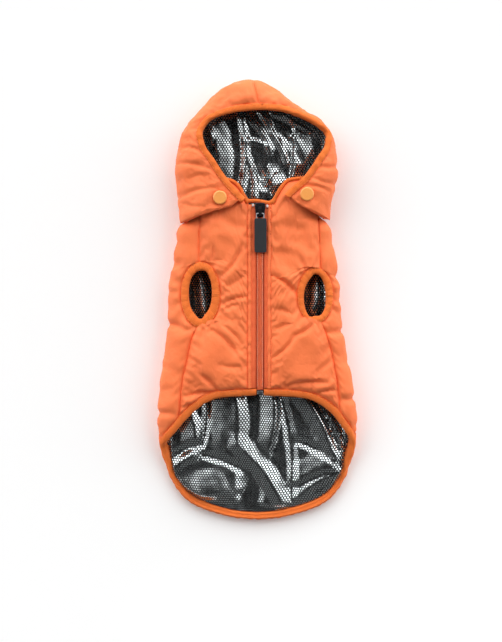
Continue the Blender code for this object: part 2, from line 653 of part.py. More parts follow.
def add_zip(coat):
    coil_low, coil_high = ZIP_X - COIL_WIDTH / 2, ZIP_X + COIL_WIDTH / 2
    strip("zip_tape_left", TAPE_LEFT, coil_low - GAP, ZIP_TOP, -78.4, TAPE_SECTION, "zip", coat)
    strip("zip_tape_right", coil_high + GAP, TAPE_RIGHT, 85.6, -78.4, TAPE_SECTION, "zip", coat)
    strip("zip_coil", coil_low, coil_high, 86.4, -80.2, COIL_SECTION, "zip", coat)


def box(name, size, centre, slot, coat, bevel=0.35):
    """A block with rounded edges."""
    work = bmesh.new()
    bmesh.ops.create_cube(work, size=1.0)
    bmesh.ops.scale(work, vec=[side * MM for side in size], verts=work.verts)
    bmesh.ops.translate(work, vec=[place * MM for place in centre], verts=work.verts)
    mesh = bpy.data.meshes.new(name)
    work.to_mesh(mesh)
    work.free()
    obj = add_object(name, mesh, slot, coat)
    rounding = obj.modifiers.new("rounded edges", "BEVEL")
    rounding.width = bevel * MM
    rounding.segments = 2
    return obj


def add_stops(coat):
    for name, x, y, size in (
            ("zip_stop_top_left", ZIP_X - 6.4, 85.2, (1.9, 2.4, 1.3)),
            ("zip_stop_top_right", ZIP_X + 6.4, 84.4, (1.9, 2.4, 1.3)),
            ("zip_stop_bottom", ZIP_X, -82.6, (5.0, 3.2, 3.0))):
        sink = 1.2 if name == "zip_stop_bottom" else -0.35
        box(name, size, (x, y, belly_height(x, y) - sink), "stop" if "top" in name else "metal", coat)


SLIDER_LENGTH = 13.0
SLIDER_WIDTH = 9.7
SLIDER_THICK = 2.0
SLIDER_Y = 80.6
BRIDGE_WIDTH = 3.0
BRIDGE_WALL = 1.2
TUNNEL = 2.4            # clear height under the slider's bridge
WIRE = 1.1
LINK_HALF = 3.3         # half-width of the wire link
LINK_Y = 77.6           # the hinge line, under the bridge


def slider_top():
    """Height of the slider plate's upper face."""
    return belly_height(ZIP_X, SLIDER_Y) + 0.7 + GAP + SLIDER_THICK


def hinge_height():
    return slider_top() + TUNNEL / 2


def flat_outline(name, outline, thick, centre, slot, coat, bevel):
    """A plate from a closed outline, centred in height on its place."""
    curve = bpy.data.curves.new(name, "CURVE")
    curve.dimensions = "2D"
    curve.fill_mode = "BOTH"
    curve.extrude = thick / 2 * MM
    spline = curve.splines.new("POLY")
    spline.points.add(len(outline) - 1)
    for point, (x, y) in zip(spline.points, outline):
        point.co = (x * MM, y * MM, 0, 1)
    spline.use_cyclic_u = True
    guide = bpy.data.objects.new(name + "_outline", curve)
    coat.objects.link(guide)
    bpy.context.view_layer.update()
    mesh = bpy.data.meshes.new_from_object(guide.evaluated_get(bpy.context.evaluated_depsgraph_get()))
    bpy.data.objects.remove(guide)
    work = bmesh.new()
    work.from_mesh(mesh)
    bmesh.ops.remove_doubles(work, verts=work.verts, dist=1e-6)
    bmesh.ops.translate(work, vec=[place * MM for place in centre], verts=work.verts)
    work.to_mesh(mesh)
    work.free()
    mesh.name = name
    mesh.materials.clear()
    obj = add_object(name, mesh, slot, coat)
    rounding = obj.modifiers.new("rounded edges", "BEVEL")
    rounding.width = bevel * MM
    rounding.segments = 2
    rounding.limit_method = "ANGLE"
    rounding.angle_limit = radians(40)
    return obj


def shield_outline(width, length, corner, taper):
    """A rectangle with round corners whose lower end is narrower by the taper."""
    points = []
    for sx, sy, start in ((1, 1, 0), (-1, 1, 90), (-1, -1, 180), (1, -1, 270)):
        half = width / 2 * (1 - (taper if sy < 0 else 0))
        for step in range(4):
            angle = radians(start + step * 30)
            points.append((sx * (half - corner) + corner * np.cos(angle),
                           sy * (length / 2 - corner) + corner * np.sin(angle)))
    return points


def add_slider(coat):
    """Plate with a raised bridge along its middle, the tunnel under it running across."""
    top = slider_top()
    plate = flat_outline("zip_slider", shield_outline(SLIDER_WIDTH, SLIDER_LENGTH, 2.6, 0.16), SLIDER_THICK,
                         (ZIP_X, SLIDER_Y, top - SLIDER_THICK / 2), "slider", coat, 0.6)
    low, high = LINK_Y - 2.6, LINK_Y + 5.2
    inner_top, outer_top = TUNNEL, TUNNEL + BRIDGE_WALL
    profile = [(low - 0.9, -0.5), (low - 0.9, 0.6), (low + 0.6, outer_top), (high - 1.2, outer_top),
               (high + 1.4, 0.6), (high + 1.4, -0.5),
               (high - 0.2, -0.5), (high - 0.2, 0.2), (high - 1.6, inner_top), (low + 1.1, inner_top),
               (low + 0.3, 0.2), (low + 0.3, -0.5)]
    vertices, faces = [], []
    for x in (-BRIDGE_WIDTH / 2, BRIDGE_WIDTH / 2):
        vertices += [(ZIP_X + x, y, top + z) for y, z in profile]
    count = len(profile)
    for i in range(count):
        j = (i + 1) % count
        faces.append((i, j, j + count, i + count))
    half = count // 2
    for i in range(half - 1):
        mirror_i, mirror_j = count - 1 - i, count - 2 - i
        faces.append((i, i + 1, mirror_j, mirror_i))
        faces.append((i + count, mirror_i + count, mirror_j + count, i + 1 + count))
    cutters = bpy.data.collections.get("cutters")
    bridge = bpy.data.objects.new("slider_bridge_tool", mesh_from("slider_bridge_tool", vertices, faces))
    cutters.objects.link(bridge)
    bridge.hide_render = True
    bridge.display_type = "WIRE"
    join = plate.modifiers.new("bridge", "BOOLEAN")
    join.operation = "UNION"
    join.object = bridge


def link_route():
    """The wire link's centre line: a rectangle with round corners, from the tunnel to inside the pull."""
    near, far = 0.0, -(LINK_Y - PULL_TOP_Y) - 2.4
    corner = 1.1
    points = []
    half = LINK_HALF
    for sx, y, start in ((1, near, 0), (-1, near, 90), (-1, far, 180), (1, far, 270)):
        sy = 1 if y == near else -1
        for step in range(4):
            angle = radians(start + step * 30)
            points.append((sx * (half - corner) + corner * np.cos(angle), y - sy * corner + corner * np.sin(angle)))
    return points


PULL_TOP_Y = 73.2
PULL_DROOP = 1.2        # and slopes down to the zip


def wire_mesh(name, thickness):
    """The closed wire link as a mesh, its hinge line on the X axis."""
    curve = bpy.data.curves.new(name, "CURVE")
    curve.dimensions = "3D"
    curve.bevel_depth = thickness / 2 * MM
    curve.bevel_resolution = 2
    spline = curve.splines.new("POLY")
    route = link_route()
    spline.points.add(len(route) - 1)
    for point, (x, y) in zip(spline.points, route):
        point.co = (x * MM, y * MM, 0, 1)
    spline.use_cyclic_u = True
    guide = bpy.data.objects.new(name + "_route", curve)
    bpy.context.scene.collection.objects.link(guide)
    bpy.context.view_layer.update()
    mesh = bpy.data.meshes.new_from_object(guide.evaluated_get(bpy.context.evaluated_depsgraph_get()))
    bpy.data.objects.remove(guide)
    work = bmesh.new()
    work.from_mesh(mesh)
    bmesh.ops.remove_doubles(work, verts=work.verts, dist=1e-6)
    bmesh.ops.recalc_face_normals(work, faces=work.faces)
    work.to_mesh(mesh)
    work.free()
    mesh.name = name
    mesh.materials.clear()
    return mesh


def add_pull(coat):
    """Wire link and rubber pull on one empty, which stands on the hinge line."""
    pivot = bpy.data.objects.new("pull_pivot", None)
    pivot.location = (ZIP_X * MM, LINK_Y * MM, hinge_height() * MM)
    pivot.rotation_euler = (radians(PULL_DROOP), 0, 0)
    coat.objects.link(pivot)

    link = add_object("pull_link", wire_mesh("pull_link", WIRE), "metal", coat)
    link.data.shade_smooth()
    link.parent = pivot

    top = -(LINK_Y - PULL_TOP_Y)
    tab = flat_outline("pull_tab", shield_outline(PULL_WIDTH, PULL_LENGTH, 1.3, 0.0), PULL_THICK,
                       (0.3, top - PULL_LENGTH / 2, 0), "rubber", coat, 0.5)
    tab.parent = pivot
    cutters = bpy.data.collections.get("cutters")
    cutter = bpy.data.objects.new("link_channel_tool", wire_mesh("link_channel_tool", WIRE + 2 * GAP))
    cutters.objects.link(cutter)
    cutter.parent = pivot
    cutter.hide_render = True
    cutter.display_type = "WIRE"
    channel = tab.modifiers.new("channel for the link", "BOOLEAN")
    channel.object = cutter


def add_snaps(coat):
    """Shallow dished caps, turned from a profile."""
    radius = SNAP_DIAMETER / 2
    profile = [(0, 1.5), (radius * 0.5, 1.6), (radius * 0.66, 2.2), (radius * 0.86, 2.2), (radius, 1.4),
               (radius, 0.4), (radius * 0.9, 0), (0, 0)]
    for side, (x, y) in SNAP_PLACES.items():
        mesh = bpy.data.meshes.new(f"snap_cap_{side}")
        mesh.from_pydata([(r * MM, 0, z * MM) for r, z in profile], [(i, i + 1) for i in range(len(profile) - 1)], [])
        obj = add_object(f"snap_cap_{side}", mesh, "snap", coat)
        obj.location = (x * MM, y * MM, (HOOD_TOP + GAP) * MM)
        turn = obj.modifiers.new("turned", "SCREW")
        turn.steps = turn.render_steps = 28
        turn.use_merge_vertices = True
        turn.merge_threshold = 0.00001
        turn.use_smooth_shade = True


# ---------------------------------------------------------------- build
def main():
    for obj in list(bpy.data.objects):
        bpy.data.objects.remove(obj)
    coat = bpy.data.collections.new("dog_winter_coat")
    cutters = bpy.data.collections.new("cutters")
    bpy.context.scene.collection.children.link(coat)
    bpy.context.scene.collection.children.link(cutters)
    grids = add_body(coat)
    add_edge_bindings(grids, coat)
    add_armhole_bindings(coat)
    add_hood(coat)
    add_zip(coat)
    add_stops(coat)
    add_slider(coat)
    add_pull(coat)
    add_snaps(coat)


main()
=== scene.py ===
# %% [markdown]
# # Dog winter coat, laid flat on its back
#
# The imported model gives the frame: every cloth piece, the zip and its pull, in metres, with +Y towards
# the hood and +Z up through the belly. This script gives each piece its looks. It rebuilds the soft
# pieces as finer surfaces from the same sizes, adds puffs, gathers, folds and stitches, and makes every
# material.

# %% Load the frame
from math import pi, radians

import bmesh
import bpy
import numpy as np
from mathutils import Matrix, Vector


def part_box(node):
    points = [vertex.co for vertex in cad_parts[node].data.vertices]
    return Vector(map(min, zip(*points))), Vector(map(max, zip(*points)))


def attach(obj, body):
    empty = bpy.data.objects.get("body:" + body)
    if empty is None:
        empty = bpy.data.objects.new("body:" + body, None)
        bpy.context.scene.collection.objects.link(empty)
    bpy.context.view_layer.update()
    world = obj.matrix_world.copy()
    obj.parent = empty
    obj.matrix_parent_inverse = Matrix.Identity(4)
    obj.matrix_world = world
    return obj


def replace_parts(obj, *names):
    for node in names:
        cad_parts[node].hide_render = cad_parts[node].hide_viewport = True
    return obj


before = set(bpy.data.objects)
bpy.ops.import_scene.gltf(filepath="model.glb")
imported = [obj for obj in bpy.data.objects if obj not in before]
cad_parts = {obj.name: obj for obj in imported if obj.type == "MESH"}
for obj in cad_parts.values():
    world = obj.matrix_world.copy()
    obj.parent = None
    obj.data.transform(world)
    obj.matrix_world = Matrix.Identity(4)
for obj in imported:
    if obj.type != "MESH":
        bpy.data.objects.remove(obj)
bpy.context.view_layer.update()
MM = 0.001

# %% [markdown]
# ## Sizes
#
# The coat is a flattened tube of padded cloth, open at the neck, at the hem and at two armholes, with a
# hood that is an open bag. Its height could be sculpted by eye, but a few measured widths with smooth
# curves through them are shorter and easier to change. All sizes are millimetres and the same as the
# solids have, so a finer grid on the same surface lies exactly where the solid lies.

# %% Sizes of the coat
BODY_WALL = 5.0
HOOD_WALL = 4.0
LINING = 1.0
GAP = 0.3           # clearance between the pieces
LINING_GAP = 0.6    # clearance between a wall and its lining

SIDE_HEIGHT = 13.0
BODY_CROWN = 27.5
SHOULDER = 22.0
BELLY_FALL = 1.2
HOOD_SIDE = 14.0
HOOD_TOP = 33.0
HOOD_SHOULDER = 22.0

ZIP_X = 2.8
COIL_WIDTH = 6.2
TAPE_LEFT = -8.1
TAPE_RIGHT = 11.4

NECK_BAND = 3.4     # how wide each binding shows
HEM_BAND = 6.4
HOOD_BAND = 6.4
SNAP_PLACES = {"left": (-33.1, 91.6), "right": (44.5, 94.7)}

# widths of the flattened body at each y, and the outlines of its neck and hem at each share of a half girth
BODY_SIDES = {
    "y":     (112, 95, 84, 76, 71, 66, 60, 50, 30, 8, -20, -50, -80, -110, -134),
    "left":  (50, 53, 56, 58, 60, 64.5, 69, 72.5, 76, 79.5, 79.5, 84, 87, 88.5, 86.5),
    "right": (50, 51.5, 53.5, 55, 57, 61.5, 65, 67.5, 71.5, 73.5, 76, 81, 86, 89, 88),
}
NECK_EDGE = {
    "u":     (0.0, 0.17, 0.25, 0.32, 0.40, 0.50, 0.62, 0.75, 1.0, 2.0),
    "left":  (91.0, 91.0, 95.5, 101.5, 105.5, 108.5, 110.2, 111.2, 112.0, 112.0),
    "right": (91.0, 89.8, 89.3, 91.2, 97.0, 103.5, 108.8, 111.0, 112.0, 112.0),
}
HEM_EDGE = {
    "u":     (0.0, 0.32, 0.45, 0.56, 0.68, 0.80, 0.90, 1.0,
              1.083, 1.131, 1.159, 1.204, 1.254, 1.327, 1.44, 1.648, 1.82, 2.0),
    "left":  (-85.5, -87.5, -91.5, -99.0, -110.5, -121.5, -128.5, -134.0,
              -144.0, -151.0, -158.0, -165.0, -172.0, -180.0, -187.0, -194.0, -197.6, -198.9),
    "right": (-85.5, -87.0, -88.8, -93.5, -103.0, -115.5, -125.0, -134.0,
              -144.0, -151.0, -158.0, -165.0, -172.0, -180.0, -187.0, -194.0, -197.6, -198.9),
}
CROWN = {"v": (0.0, 0.12, 0.4, 0.8, 0.93, 1.0), "z": (25.2, 26.1, BODY_CROWN, BODY_CROWN, 26.5, 23.5)}
SIDE_ROW = 7          # the hem's row at the side line
SEAMS = {
    # turn: how far the seam meets the armhole outside its highest and lowest points, in degrees
    "left":  {"upper_y": (112, 70), "upper_x": (-41, -52), "turn": (3, 12),
              "lower_y": (-38, -52, -70, -86, -104), "lower_x": (-59.7, -62.4, -66.6, -68.5, -69.8)},
    "right": {"upper_y": (112, 70), "upper_x": (43, 55.7), "turn": (17, 19),
              "lower_y": (-31, -43, -65, -77, -98), "lower_x": (62, 66, 70.4, 72.3, 74.0)},
}
ARMHOLES = {
    "left":  {"centre": (-50.8, 4.9), "outer": (18.2, 30.0), "hole": (10.5, 21.5)},
    "right": {"centre": (52.3, 4.3), "outer": (16.6, 25.6), "hole": (10.2, 19.0)},
}
CURL_HEIGHT = 7.0     # the back's rim curls up by this much at the hem
CURL_REACH = 12.0     # and starts to curl this far in from it
HOOD_RIBS = (
    # rim x, rim y, turn x, turn y, end x, end y
    (24.5, 95, 28.5, 91, 28.5, 91),
    (29, 99.5, 46, 81, 46, 81),
    (34, 104, 65.3, 72.4, 65.3, 72.4),
    (41, 110, 66.3, 84, 58.5, 86),
    (48, 119, 69, 97.5, 53.5, 103),
    (55, 129, 71.8, 115, 47, 112.9),
    (62, 139, 71, 132, 36, 112.9),
    (64, 149.5, 68.5, 146.5, 27, 112.9),
    (54, 158.3, 57.5, 162, 19, 112.9),
    (36, 166.4, 38.7, 173.3, 11.5, 112.9),
    (19, 169.4, 20, 187.7, 5.5, 112.9),
    (2.5, 169.7, -3, 198.3, 0, 112.9),
    (-14, 168.4, -20, 195.7, -6, 112.9),
    (-29, 165.5, -39, 183.6, -13, 112.9),
    (-42.5, 160.5, -56, 166, -21, 112.9),
    (-49, 149.5, -67.5, 148.5, -29, 112.9),
    (-46, 138, -71.5, 130, -38, 112.9),
    (-38, 126, -73, 115, -47.5, 112.9),
    (-30, 113.5, -71.5, 97.5, -54, 103),
    (-23, 104.5, -69.8, 83, -60, 85),
    (-17.5, 98.5, -68, 69.4, -68, 69.4),
    (-14, 95, -41, 79, -41, 79),
    (-10.8, 91.6, -13.8, 86.1, -13.8, 86.1),
)
CENTRE_RIB = 11
BELOW_RIGHT_FLAP = ((63.3, 49.2), (65.2, 71.2))
BELOW_LEFT_FLAP = ((-67.8, 68.0), (-65.0, 47.0))
print("hem rows:", len(HEM_EDGE["u"]), "hood ribs:", len(HOOD_RIBS))

# %% [markdown]
# ## The two surfaces
#
# A surface in code is a function of two numbers. On the body they are a girth q (0 belly centre, 1 right
# side, 2 back centre, 3 left side) and a length v (0 neck, 1 hem). Its section has a flat middle, a
# quarter ellipse down to the side line, a quarter circle under it and a flat back. On the hood they are a
# rib t and a distance s from the face opening's rim, and each rib runs over the top, round the side and
# underneath. Every cloth piece below is cut from one of these two surfaces, so neighbours always meet.
# `smooth` is the curve through every table. It never overshoots a row, so no bulge appears that the table
# doesn't have.

# %% Curves and the body's surface
def smooth(xs, ys, x):
    """A piecewise cubic through a table, with the harmonic mean of both sides' slopes at each row."""
    xs = np.asarray(xs, float)
    ys = np.asarray(ys, float)
    if xs[0] > xs[-1]:
        xs, ys = xs[::-1], ys[::-1]
    steps = np.diff(xs)
    slopes = np.diff(ys) / steps
    tangents = np.zeros_like(ys)
    before, after = slopes[:-1], slopes[1:]
    same_way = before * after > 0
    tangents[1:-1][same_way] = 2 * before[same_way] * after[same_way] / (before + after)[same_way]
    tangents[0], tangents[-1] = slopes[0], slopes[-1]
    x = np.clip(x, xs[0], xs[-1])
    i = np.clip(np.searchsorted(xs, x) - 1, 0, len(steps) - 1)
    h = steps[i]
    k = (x - xs[i]) / h
    return (ys[i] * (1 + 2 * k) * (1 - k) ** 2 + tangents[i] * h * k * (1 - k) ** 2
            + ys[i + 1] * k * k * (3 - 2 * k) + tangents[i + 1] * h * k * k * (k - 1))


def run_lengths(points):
    """The distance along a row of points, from its first one."""
    return np.concatenate(([0], np.cumsum(np.linalg.norm(np.diff(points, axis=0), axis=1))))


def rounded_shoulder():
    """A quarter ellipse by the share of its length: shares, angles and the whole length."""
    angle = np.linspace(0, pi / 2, 121)
    run = np.hypot(np.diff(SHOULDER * np.sin(angle)), np.diff((BODY_CROWN - SIDE_HEIGHT) * np.cos(angle)))
    share = np.concatenate(([0], np.cumsum(run)))
    return share / share[-1], angle, share[-1]


SHOULDER_SHARE, SHOULDER_ANGLE, SHOULDER_LENGTH = rounded_shoulder()
BELLY_FLAT = 56.0     # half the flat middle of the belly
FLAT_SHARE = BELLY_FLAT / (BELLY_FLAT + SHOULDER_LENGTH)
QUARTER = SIDE_HEIGHT * pi / 2
UNDER = 85.4          # cloth from the side line to the middle of the back


def girth(q):
    """The share of a half girth (0 belly centre, 2 back centre), and whether it is the right half."""
    q = np.mod(q, 4)
    return np.minimum(q, 4 - q), q < 2


def by_side(table, key, at, right):
    """A table's right or left column at a place in its key column."""
    return np.where(right, smooth(table[key], table["right"], at), smooth(table[key], table["left"], at))


def body_point(q, v):
    """The body's outer surface at girth q and length v.

    y runs from the neck's outline to the hem's. Above the side line, x is the
    flat middle and the ellipse's sine, and z the ellipse's cosine. Below it
    they are a quarter circle's, and then the flat back's.
    """
    u, right = girth(q)
    neck = by_side(NECK_EDGE, "u", u, right)
    hem = by_side(HEM_EDGE, "u", u, right)
    y = neck + (hem - neck) * v
    side_y = NECK_EDGE["left"][-1] + (HEM_EDGE["left"][SIDE_ROW] - NECK_EDGE["left"][-1]) * v
    width = by_side(BODY_SIDES, "y", side_y, right)
    crown = smooth(CROWN["v"], CROWN["z"], v)
    bend = np.interp((u - FLAT_SHARE) / (1 - FLAT_SHARE), SHOULDER_SHARE, SHOULDER_ANGLE)
    middle = np.clip(u / FLAT_SHARE, 0, 1)
    belly_x = (width - SHOULDER) * middle + SHOULDER * np.sin(bend)
    belly_z = SIDE_HEIGHT + (crown - BELLY_FALL * middle ** 2 - SIDE_HEIGHT) * np.cos(bend)
    along = np.clip(u - 1, 0, 1) * UNDER
    turn = np.clip(along / SIDE_HEIGHT, 0, pi / 2)
    flat = np.clip((along - QUARTER) / (UNDER - QUARTER), 0, 1)
    back_x = (width - SIDE_HEIGHT) * (1 - flat) + SIDE_HEIGHT * np.cos(turn)
    back_z = SIDE_HEIGHT * (1 - np.sin(turn))
    near_rim = np.clip(1 - (1 - v) * (neck - hem) / CURL_REACH, 0, 1)
    back_z = back_z + CURL_HEIGHT * (1 - np.sqrt(1 - near_rim ** 2)) * (1 - back_z / SIDE_HEIGHT)
    on_belly = u <= 1
    x = np.where(on_belly, belly_x, back_x) * np.where(right, 1, -1)
    return np.stack([x, y, np.where(on_belly, belly_z, back_z)], axis=-1)


def body(q, v):
    """Points of the body's surface and its outward normals: the cross product of two short steps."""
    q, v = np.broadcast_arrays(np.asarray(q, float), np.asarray(v, float))
    step = 1e-3
    normals = np.cross(body_point(q, v + step) - body_point(q, v - step),
                       body_point(q + step, v) - body_point(q - step, v))
    return body_point(q, v), normals / np.linalg.norm(normals, axis=-1, keepdims=True)


FIRST_WIDTH, ROUNDS = 80, 60


def locate(x, y):
    """The (q, v) of a point on the belly side, by repeated substitution from a first guess.

    Each round puts the last q into the outlines to find v, and the last v into
    the widths to find q, and goes half of the way to what it finds.
    """
    x, y = np.broadcast_arrays(np.asarray(x, float), np.asarray(y, float))
    right = x >= 0
    u = np.abs(x) / FIRST_WIDTH
    v = np.zeros_like(u)
    for _ in range(ROUNDS):
        neck = by_side(NECK_EDGE, "u", u, right)
        hem = by_side(HEM_EDGE, "u", u, right)
        v = 0.5 * v + 0.5 * (neck - y) / (neck - hem)
        side_y = NECK_EDGE["left"][-1] + (HEM_EDGE["left"][SIDE_ROW] - NECK_EDGE["left"][-1]) * v
        width = by_side(BODY_SIDES, "y", side_y, right)
        past = np.clip((np.abs(x) - (width - SHOULDER)) / SHOULDER, 0, 1)
        bend = np.interp(np.arcsin(past), SHOULDER_ANGLE, SHOULDER_SHARE)
        middle = np.clip(np.abs(x) / (width - SHOULDER), 0, 1)
        u = 0.5 * u + 0.5 * (FLAT_SHARE * middle + (1 - FLAT_SHARE) * bend)
    return np.where(right, u, 4 - u), v


def inset(q, band, at_hem):
    """The v that lies a band's width in from the neck or hem edge, measured square to the edge's slope."""
    u, right = girth(np.asarray(q, float))
    edge_v = 1.0 if at_hem else 0.0
    step = 2e-3
    run = body_point(q + step, edge_v) - body_point(q - step, edge_v)
    slope = run[..., 1] / np.linalg.norm(run[..., [0, 2]], axis=-1)
    length = by_side(NECK_EDGE, "u", u, right) - by_side(HEM_EDGE, "u", u, right)
    share = band * np.sqrt(1 + slope ** 2) / length
    return 1 - share if at_hem else share


print("body at half length:", body_point(0, 0.5).round(1))

# %% [markdown]
# ### The hood as ribs
#
# A hood has no simple section, because its face opening and its outline run apart and together again. So
# it is described by ribs, like an umbrella: each row of the table says where one rib starts at the rim,
# where it turns at the outline, and where it ends underneath. The height over the top depends only on the
# distance in from the outline, which keeps the crown round and even between the ribs.

# %% The hood's surface
RIBS = np.array(HOOD_RIBS)
RIB_NUMBERS = np.arange(len(RIBS))
RIGHT_CORNER, LEFT_CORNER = 2, len(RIBS) - 3


def rib(t):
    """Rim, turn and end of the rib at number t."""
    return [np.stack([smooth(RIB_NUMBERS, RIBS[:, 2 * i], t), smooth(RIB_NUMBERS, RIBS[:, 2 * i + 1], t)], -1)
            for i in range(3)]


HOOD_OUTLINE = np.concatenate([
    np.linspace(*BELOW_RIGHT_FLAP, 60),
    rib(np.linspace(RIGHT_CORNER, LEFT_CORNER, 2400))[1],
    np.linspace(*BELOW_LEFT_FLAP, 60),
])
OUTLINE_RUN = np.gradient(HOOD_OUTLINE, axis=0)
OUTLINE_INWARD = np.column_stack([-OUTLINE_RUN[:, 1], OUTLINE_RUN[:, 0]])
OUTLINE_INWARD /= np.linalg.norm(OUTLINE_INWARD, axis=1, keepdims=True)


def hood_top(points):
    """Height and normals of the hood's upper side: a quarter ellipse of the distance in from the outline."""
    offsets = points[:, None, :] - HOOD_OUTLINE[None]
    nearest = np.linalg.norm(offsets, axis=-1).argmin(axis=1)
    inward = OUTLINE_INWARD[nearest]
    away = np.maximum(0, (offsets[np.arange(len(points)), nearest] * inward).sum(axis=1))
    left = np.clip(1 - away / HOOD_SHOULDER, 0, 1)
    rise = HOOD_TOP - HOOD_SIDE
    height = HOOD_SIDE + rise * np.sqrt(1 - left ** 2)
    normals = np.column_stack([-inward * (left * rise / HOOD_SHOULDER)[:, None], np.sqrt(1 - left ** 2)])
    return height, normals / np.linalg.norm(normals, axis=1, keepdims=True)


def hood_rib(t):
    """One rib: lengths, points and normals, from the rim over the top, round the side and under."""
    rim, turn, end = rib(t)
    if t <= RIGHT_CORNER or t >= LEFT_CORNER:
        end = turn
    share = np.sin(np.linspace(0, pi / 2, 60))[:, None]
    over = rim + (turn - rim) * share
    height, normals = hood_top(over)
    points = np.column_stack([over, height])
    reach = np.linalg.norm(end - turn)
    if reach > 1e-6:
        last = np.arccos(max(0.0, 1 - reach / HOOD_SIDE))
        angle = np.linspace(0, last, 24)[1:]
        out = HOOD_SIDE * (1 - np.cos(angle))
        if reach > out[-1] + 1e-6:
            out = np.concatenate([out, np.linspace(out[-1], reach, 24)[1:]])
            angle = np.concatenate([angle, np.full(23, pi / 2)])
        under = turn + (end - turn) / reach * out[:, None]
        side_ways = normals[-1] * np.cos(angle)[:, None]
        side_ways[:, 2] = -np.sin(angle)
        points = np.concatenate([points, np.column_stack([under, HOOD_SIDE * (1 - np.sin(angle))])])
        normals = np.concatenate([normals, side_ways])
    return run_lengths(points), points, normals


HOOD_CACHE = {}


def hood(t, s):
    """Points and outward normals of the hood's surface at rib number t and distance s from the rim."""
    t, s = np.broadcast_arrays(np.asarray(t, float), np.asarray(s, float))
    found = np.empty(t.shape + (6,))
    for value in np.unique(t):
        here = t == value
        if value not in HOOD_CACHE:
            HOOD_CACHE[value] = hood_rib(float(value))
        run, points, normals = HOOD_CACHE[value]
        for axis in range(3):
            found[here, axis] = np.interp(s[here], run, points[:, axis])
            found[here, axis + 3] = np.interp(s[here], run, normals[:, axis])
    normals = found[..., 3:]
    return found[..., :3], normals / np.linalg.norm(normals, axis=-1, keepdims=True)


print("hood beside its centre seam:", hood(11.0, 10.0)[0].round(1))

# %% [markdown]
# ## Materials
#
# The shell is a soft woven polyester, the bindings a matt elastic knit, the lining a black film cloth
# with small silver dots, and the rest is nylon, rubber and metal. A picture could be wrapped round them,
# but a procedural material stays sharp from close by and has no seams. Each one reads Object coordinates
# or the piece's own UV map, in metres, so a weave or a dot has its real size. Bumps are stacked from
# coarse crinkles down to the weave, because a real cloth is rough at every size.

# %% Material helpers
class Shader:
    """A small builder for the nodes of a material, or of a sky."""

    def __init__(self, name, sky=False):
        """An empty material or sky, with the node that its result goes into."""
        self.material = (bpy.data.worlds if sky else bpy.data.materials).new(name)
        self.material.use_nodes = True
        self.tree = self.material.node_tree
        self.last = self.tree.nodes["Background" if sky else "Principled BSDF"]

    def node(self, kind, operation=None, **inputs):
        """A new node. Its inputs are given by name, or as _0, _1 and so on by number."""
        new = self.tree.nodes.new(kind)
        if operation:
            new.operation = operation
        for key, value in inputs.items():
            socket = new.inputs[int(key[1:])] if key[0] == "_" else new.inputs[key.replace("_", " ")]
            self.give(socket, value)
        return new

    def give(self, socket, value):
        """Links a socket to an input, or sets the input to a plain value."""
        if isinstance(value, bpy.types.NodeSocket):
            self.tree.links.new(value, socket)
        else:
            socket.default_value = value

    def math(self, operation, a, b):
        """A sum of two numbers."""
        return self.node("ShaderNodeMath", operation, _0=a, _1=b).outputs[0]

    def vector(self, operation, a, b=(0, 0, 0)):
        """A sum of two vectors. Its outputs are a vector and a number."""
        return self.node("ShaderNodeVectorMath", operation, _0=a, _1=b).outputs

    def mix(self, share, a, b):
        """A colour between a and b, each of them a socket or three numbers."""
        new = self.tree.nodes.new("ShaderNodeMix")
        new.data_type = "RGBA"
        for number, value in ((0, share), (6, a), (7, b)):
            self.give(new.inputs[number], colour(*value) if isinstance(value, tuple) else value)
        return new.outputs[2]

    def noise(self, place, scale, detail=2.0, distortion=0.0, roughness=0.5):
        """A cloudy field, with scale clouds to the metre."""
        new = self.node("ShaderNodeTexNoise", Vector=place, Scale=scale, Detail=detail, Roughness=roughness,
                        Distortion=distortion)
        return new.outputs["Fac"]

    def wave(self, place, scale, direction, distortion=0.0):
        """Bands across a direction, which distortion makes waver."""
        new = self.node("ShaderNodeTexWave", Vector=place, Scale=scale, Distortion=distortion)
        new.bands_direction = direction
        return new.outputs["Fac"]

    def span(self, value, low, high, to_low=0.0, to_high=1.0):
        """value carried from low..high to to_low..to_high, and clamped."""
        new = self.node("ShaderNodeMapRange", Value=value, From_Min=low, From_Max=high, To_Min=to_low,
                        To_Max=to_high)
        return new.outputs["Result"]

    def bump(self, height, distance, strength=1.0, after=None):
        """A normal tilted by a height of up to the distance, on top of another bump where one is given."""
        new = self.node("ShaderNodeBump", Height=height, Distance=distance, Strength=strength)
        if after is not None:
            self.tree.links.new(after, new.inputs["Normal"])
        return new.outputs["Normal"]

    def set(self, **values):
        """Gives the last node its inputs, and hands back the finished material or sky."""
        for key, value in values.items():
            self.give(self.last.inputs[key.replace("_", " ")], value)
        return self.material


def colour(r, g, b):
    """A colour with full opacity."""
    return (r, g, b, 1.0)


print("black:", colour(0, 0, 0))

# %% [markdown]
# ### Five finishes
#
# The shell has soft dents, crinkles and a plain weave under a faint sheen. The elastic has ribs that run
# with its own UV map, so they turn with the band. The lining's dots lie on a hexagonal lattice, worked
# out from two rectangular ones. The zip's tape is a herringbone. Everything moulded or drawn is one
# colour with a fine grain.

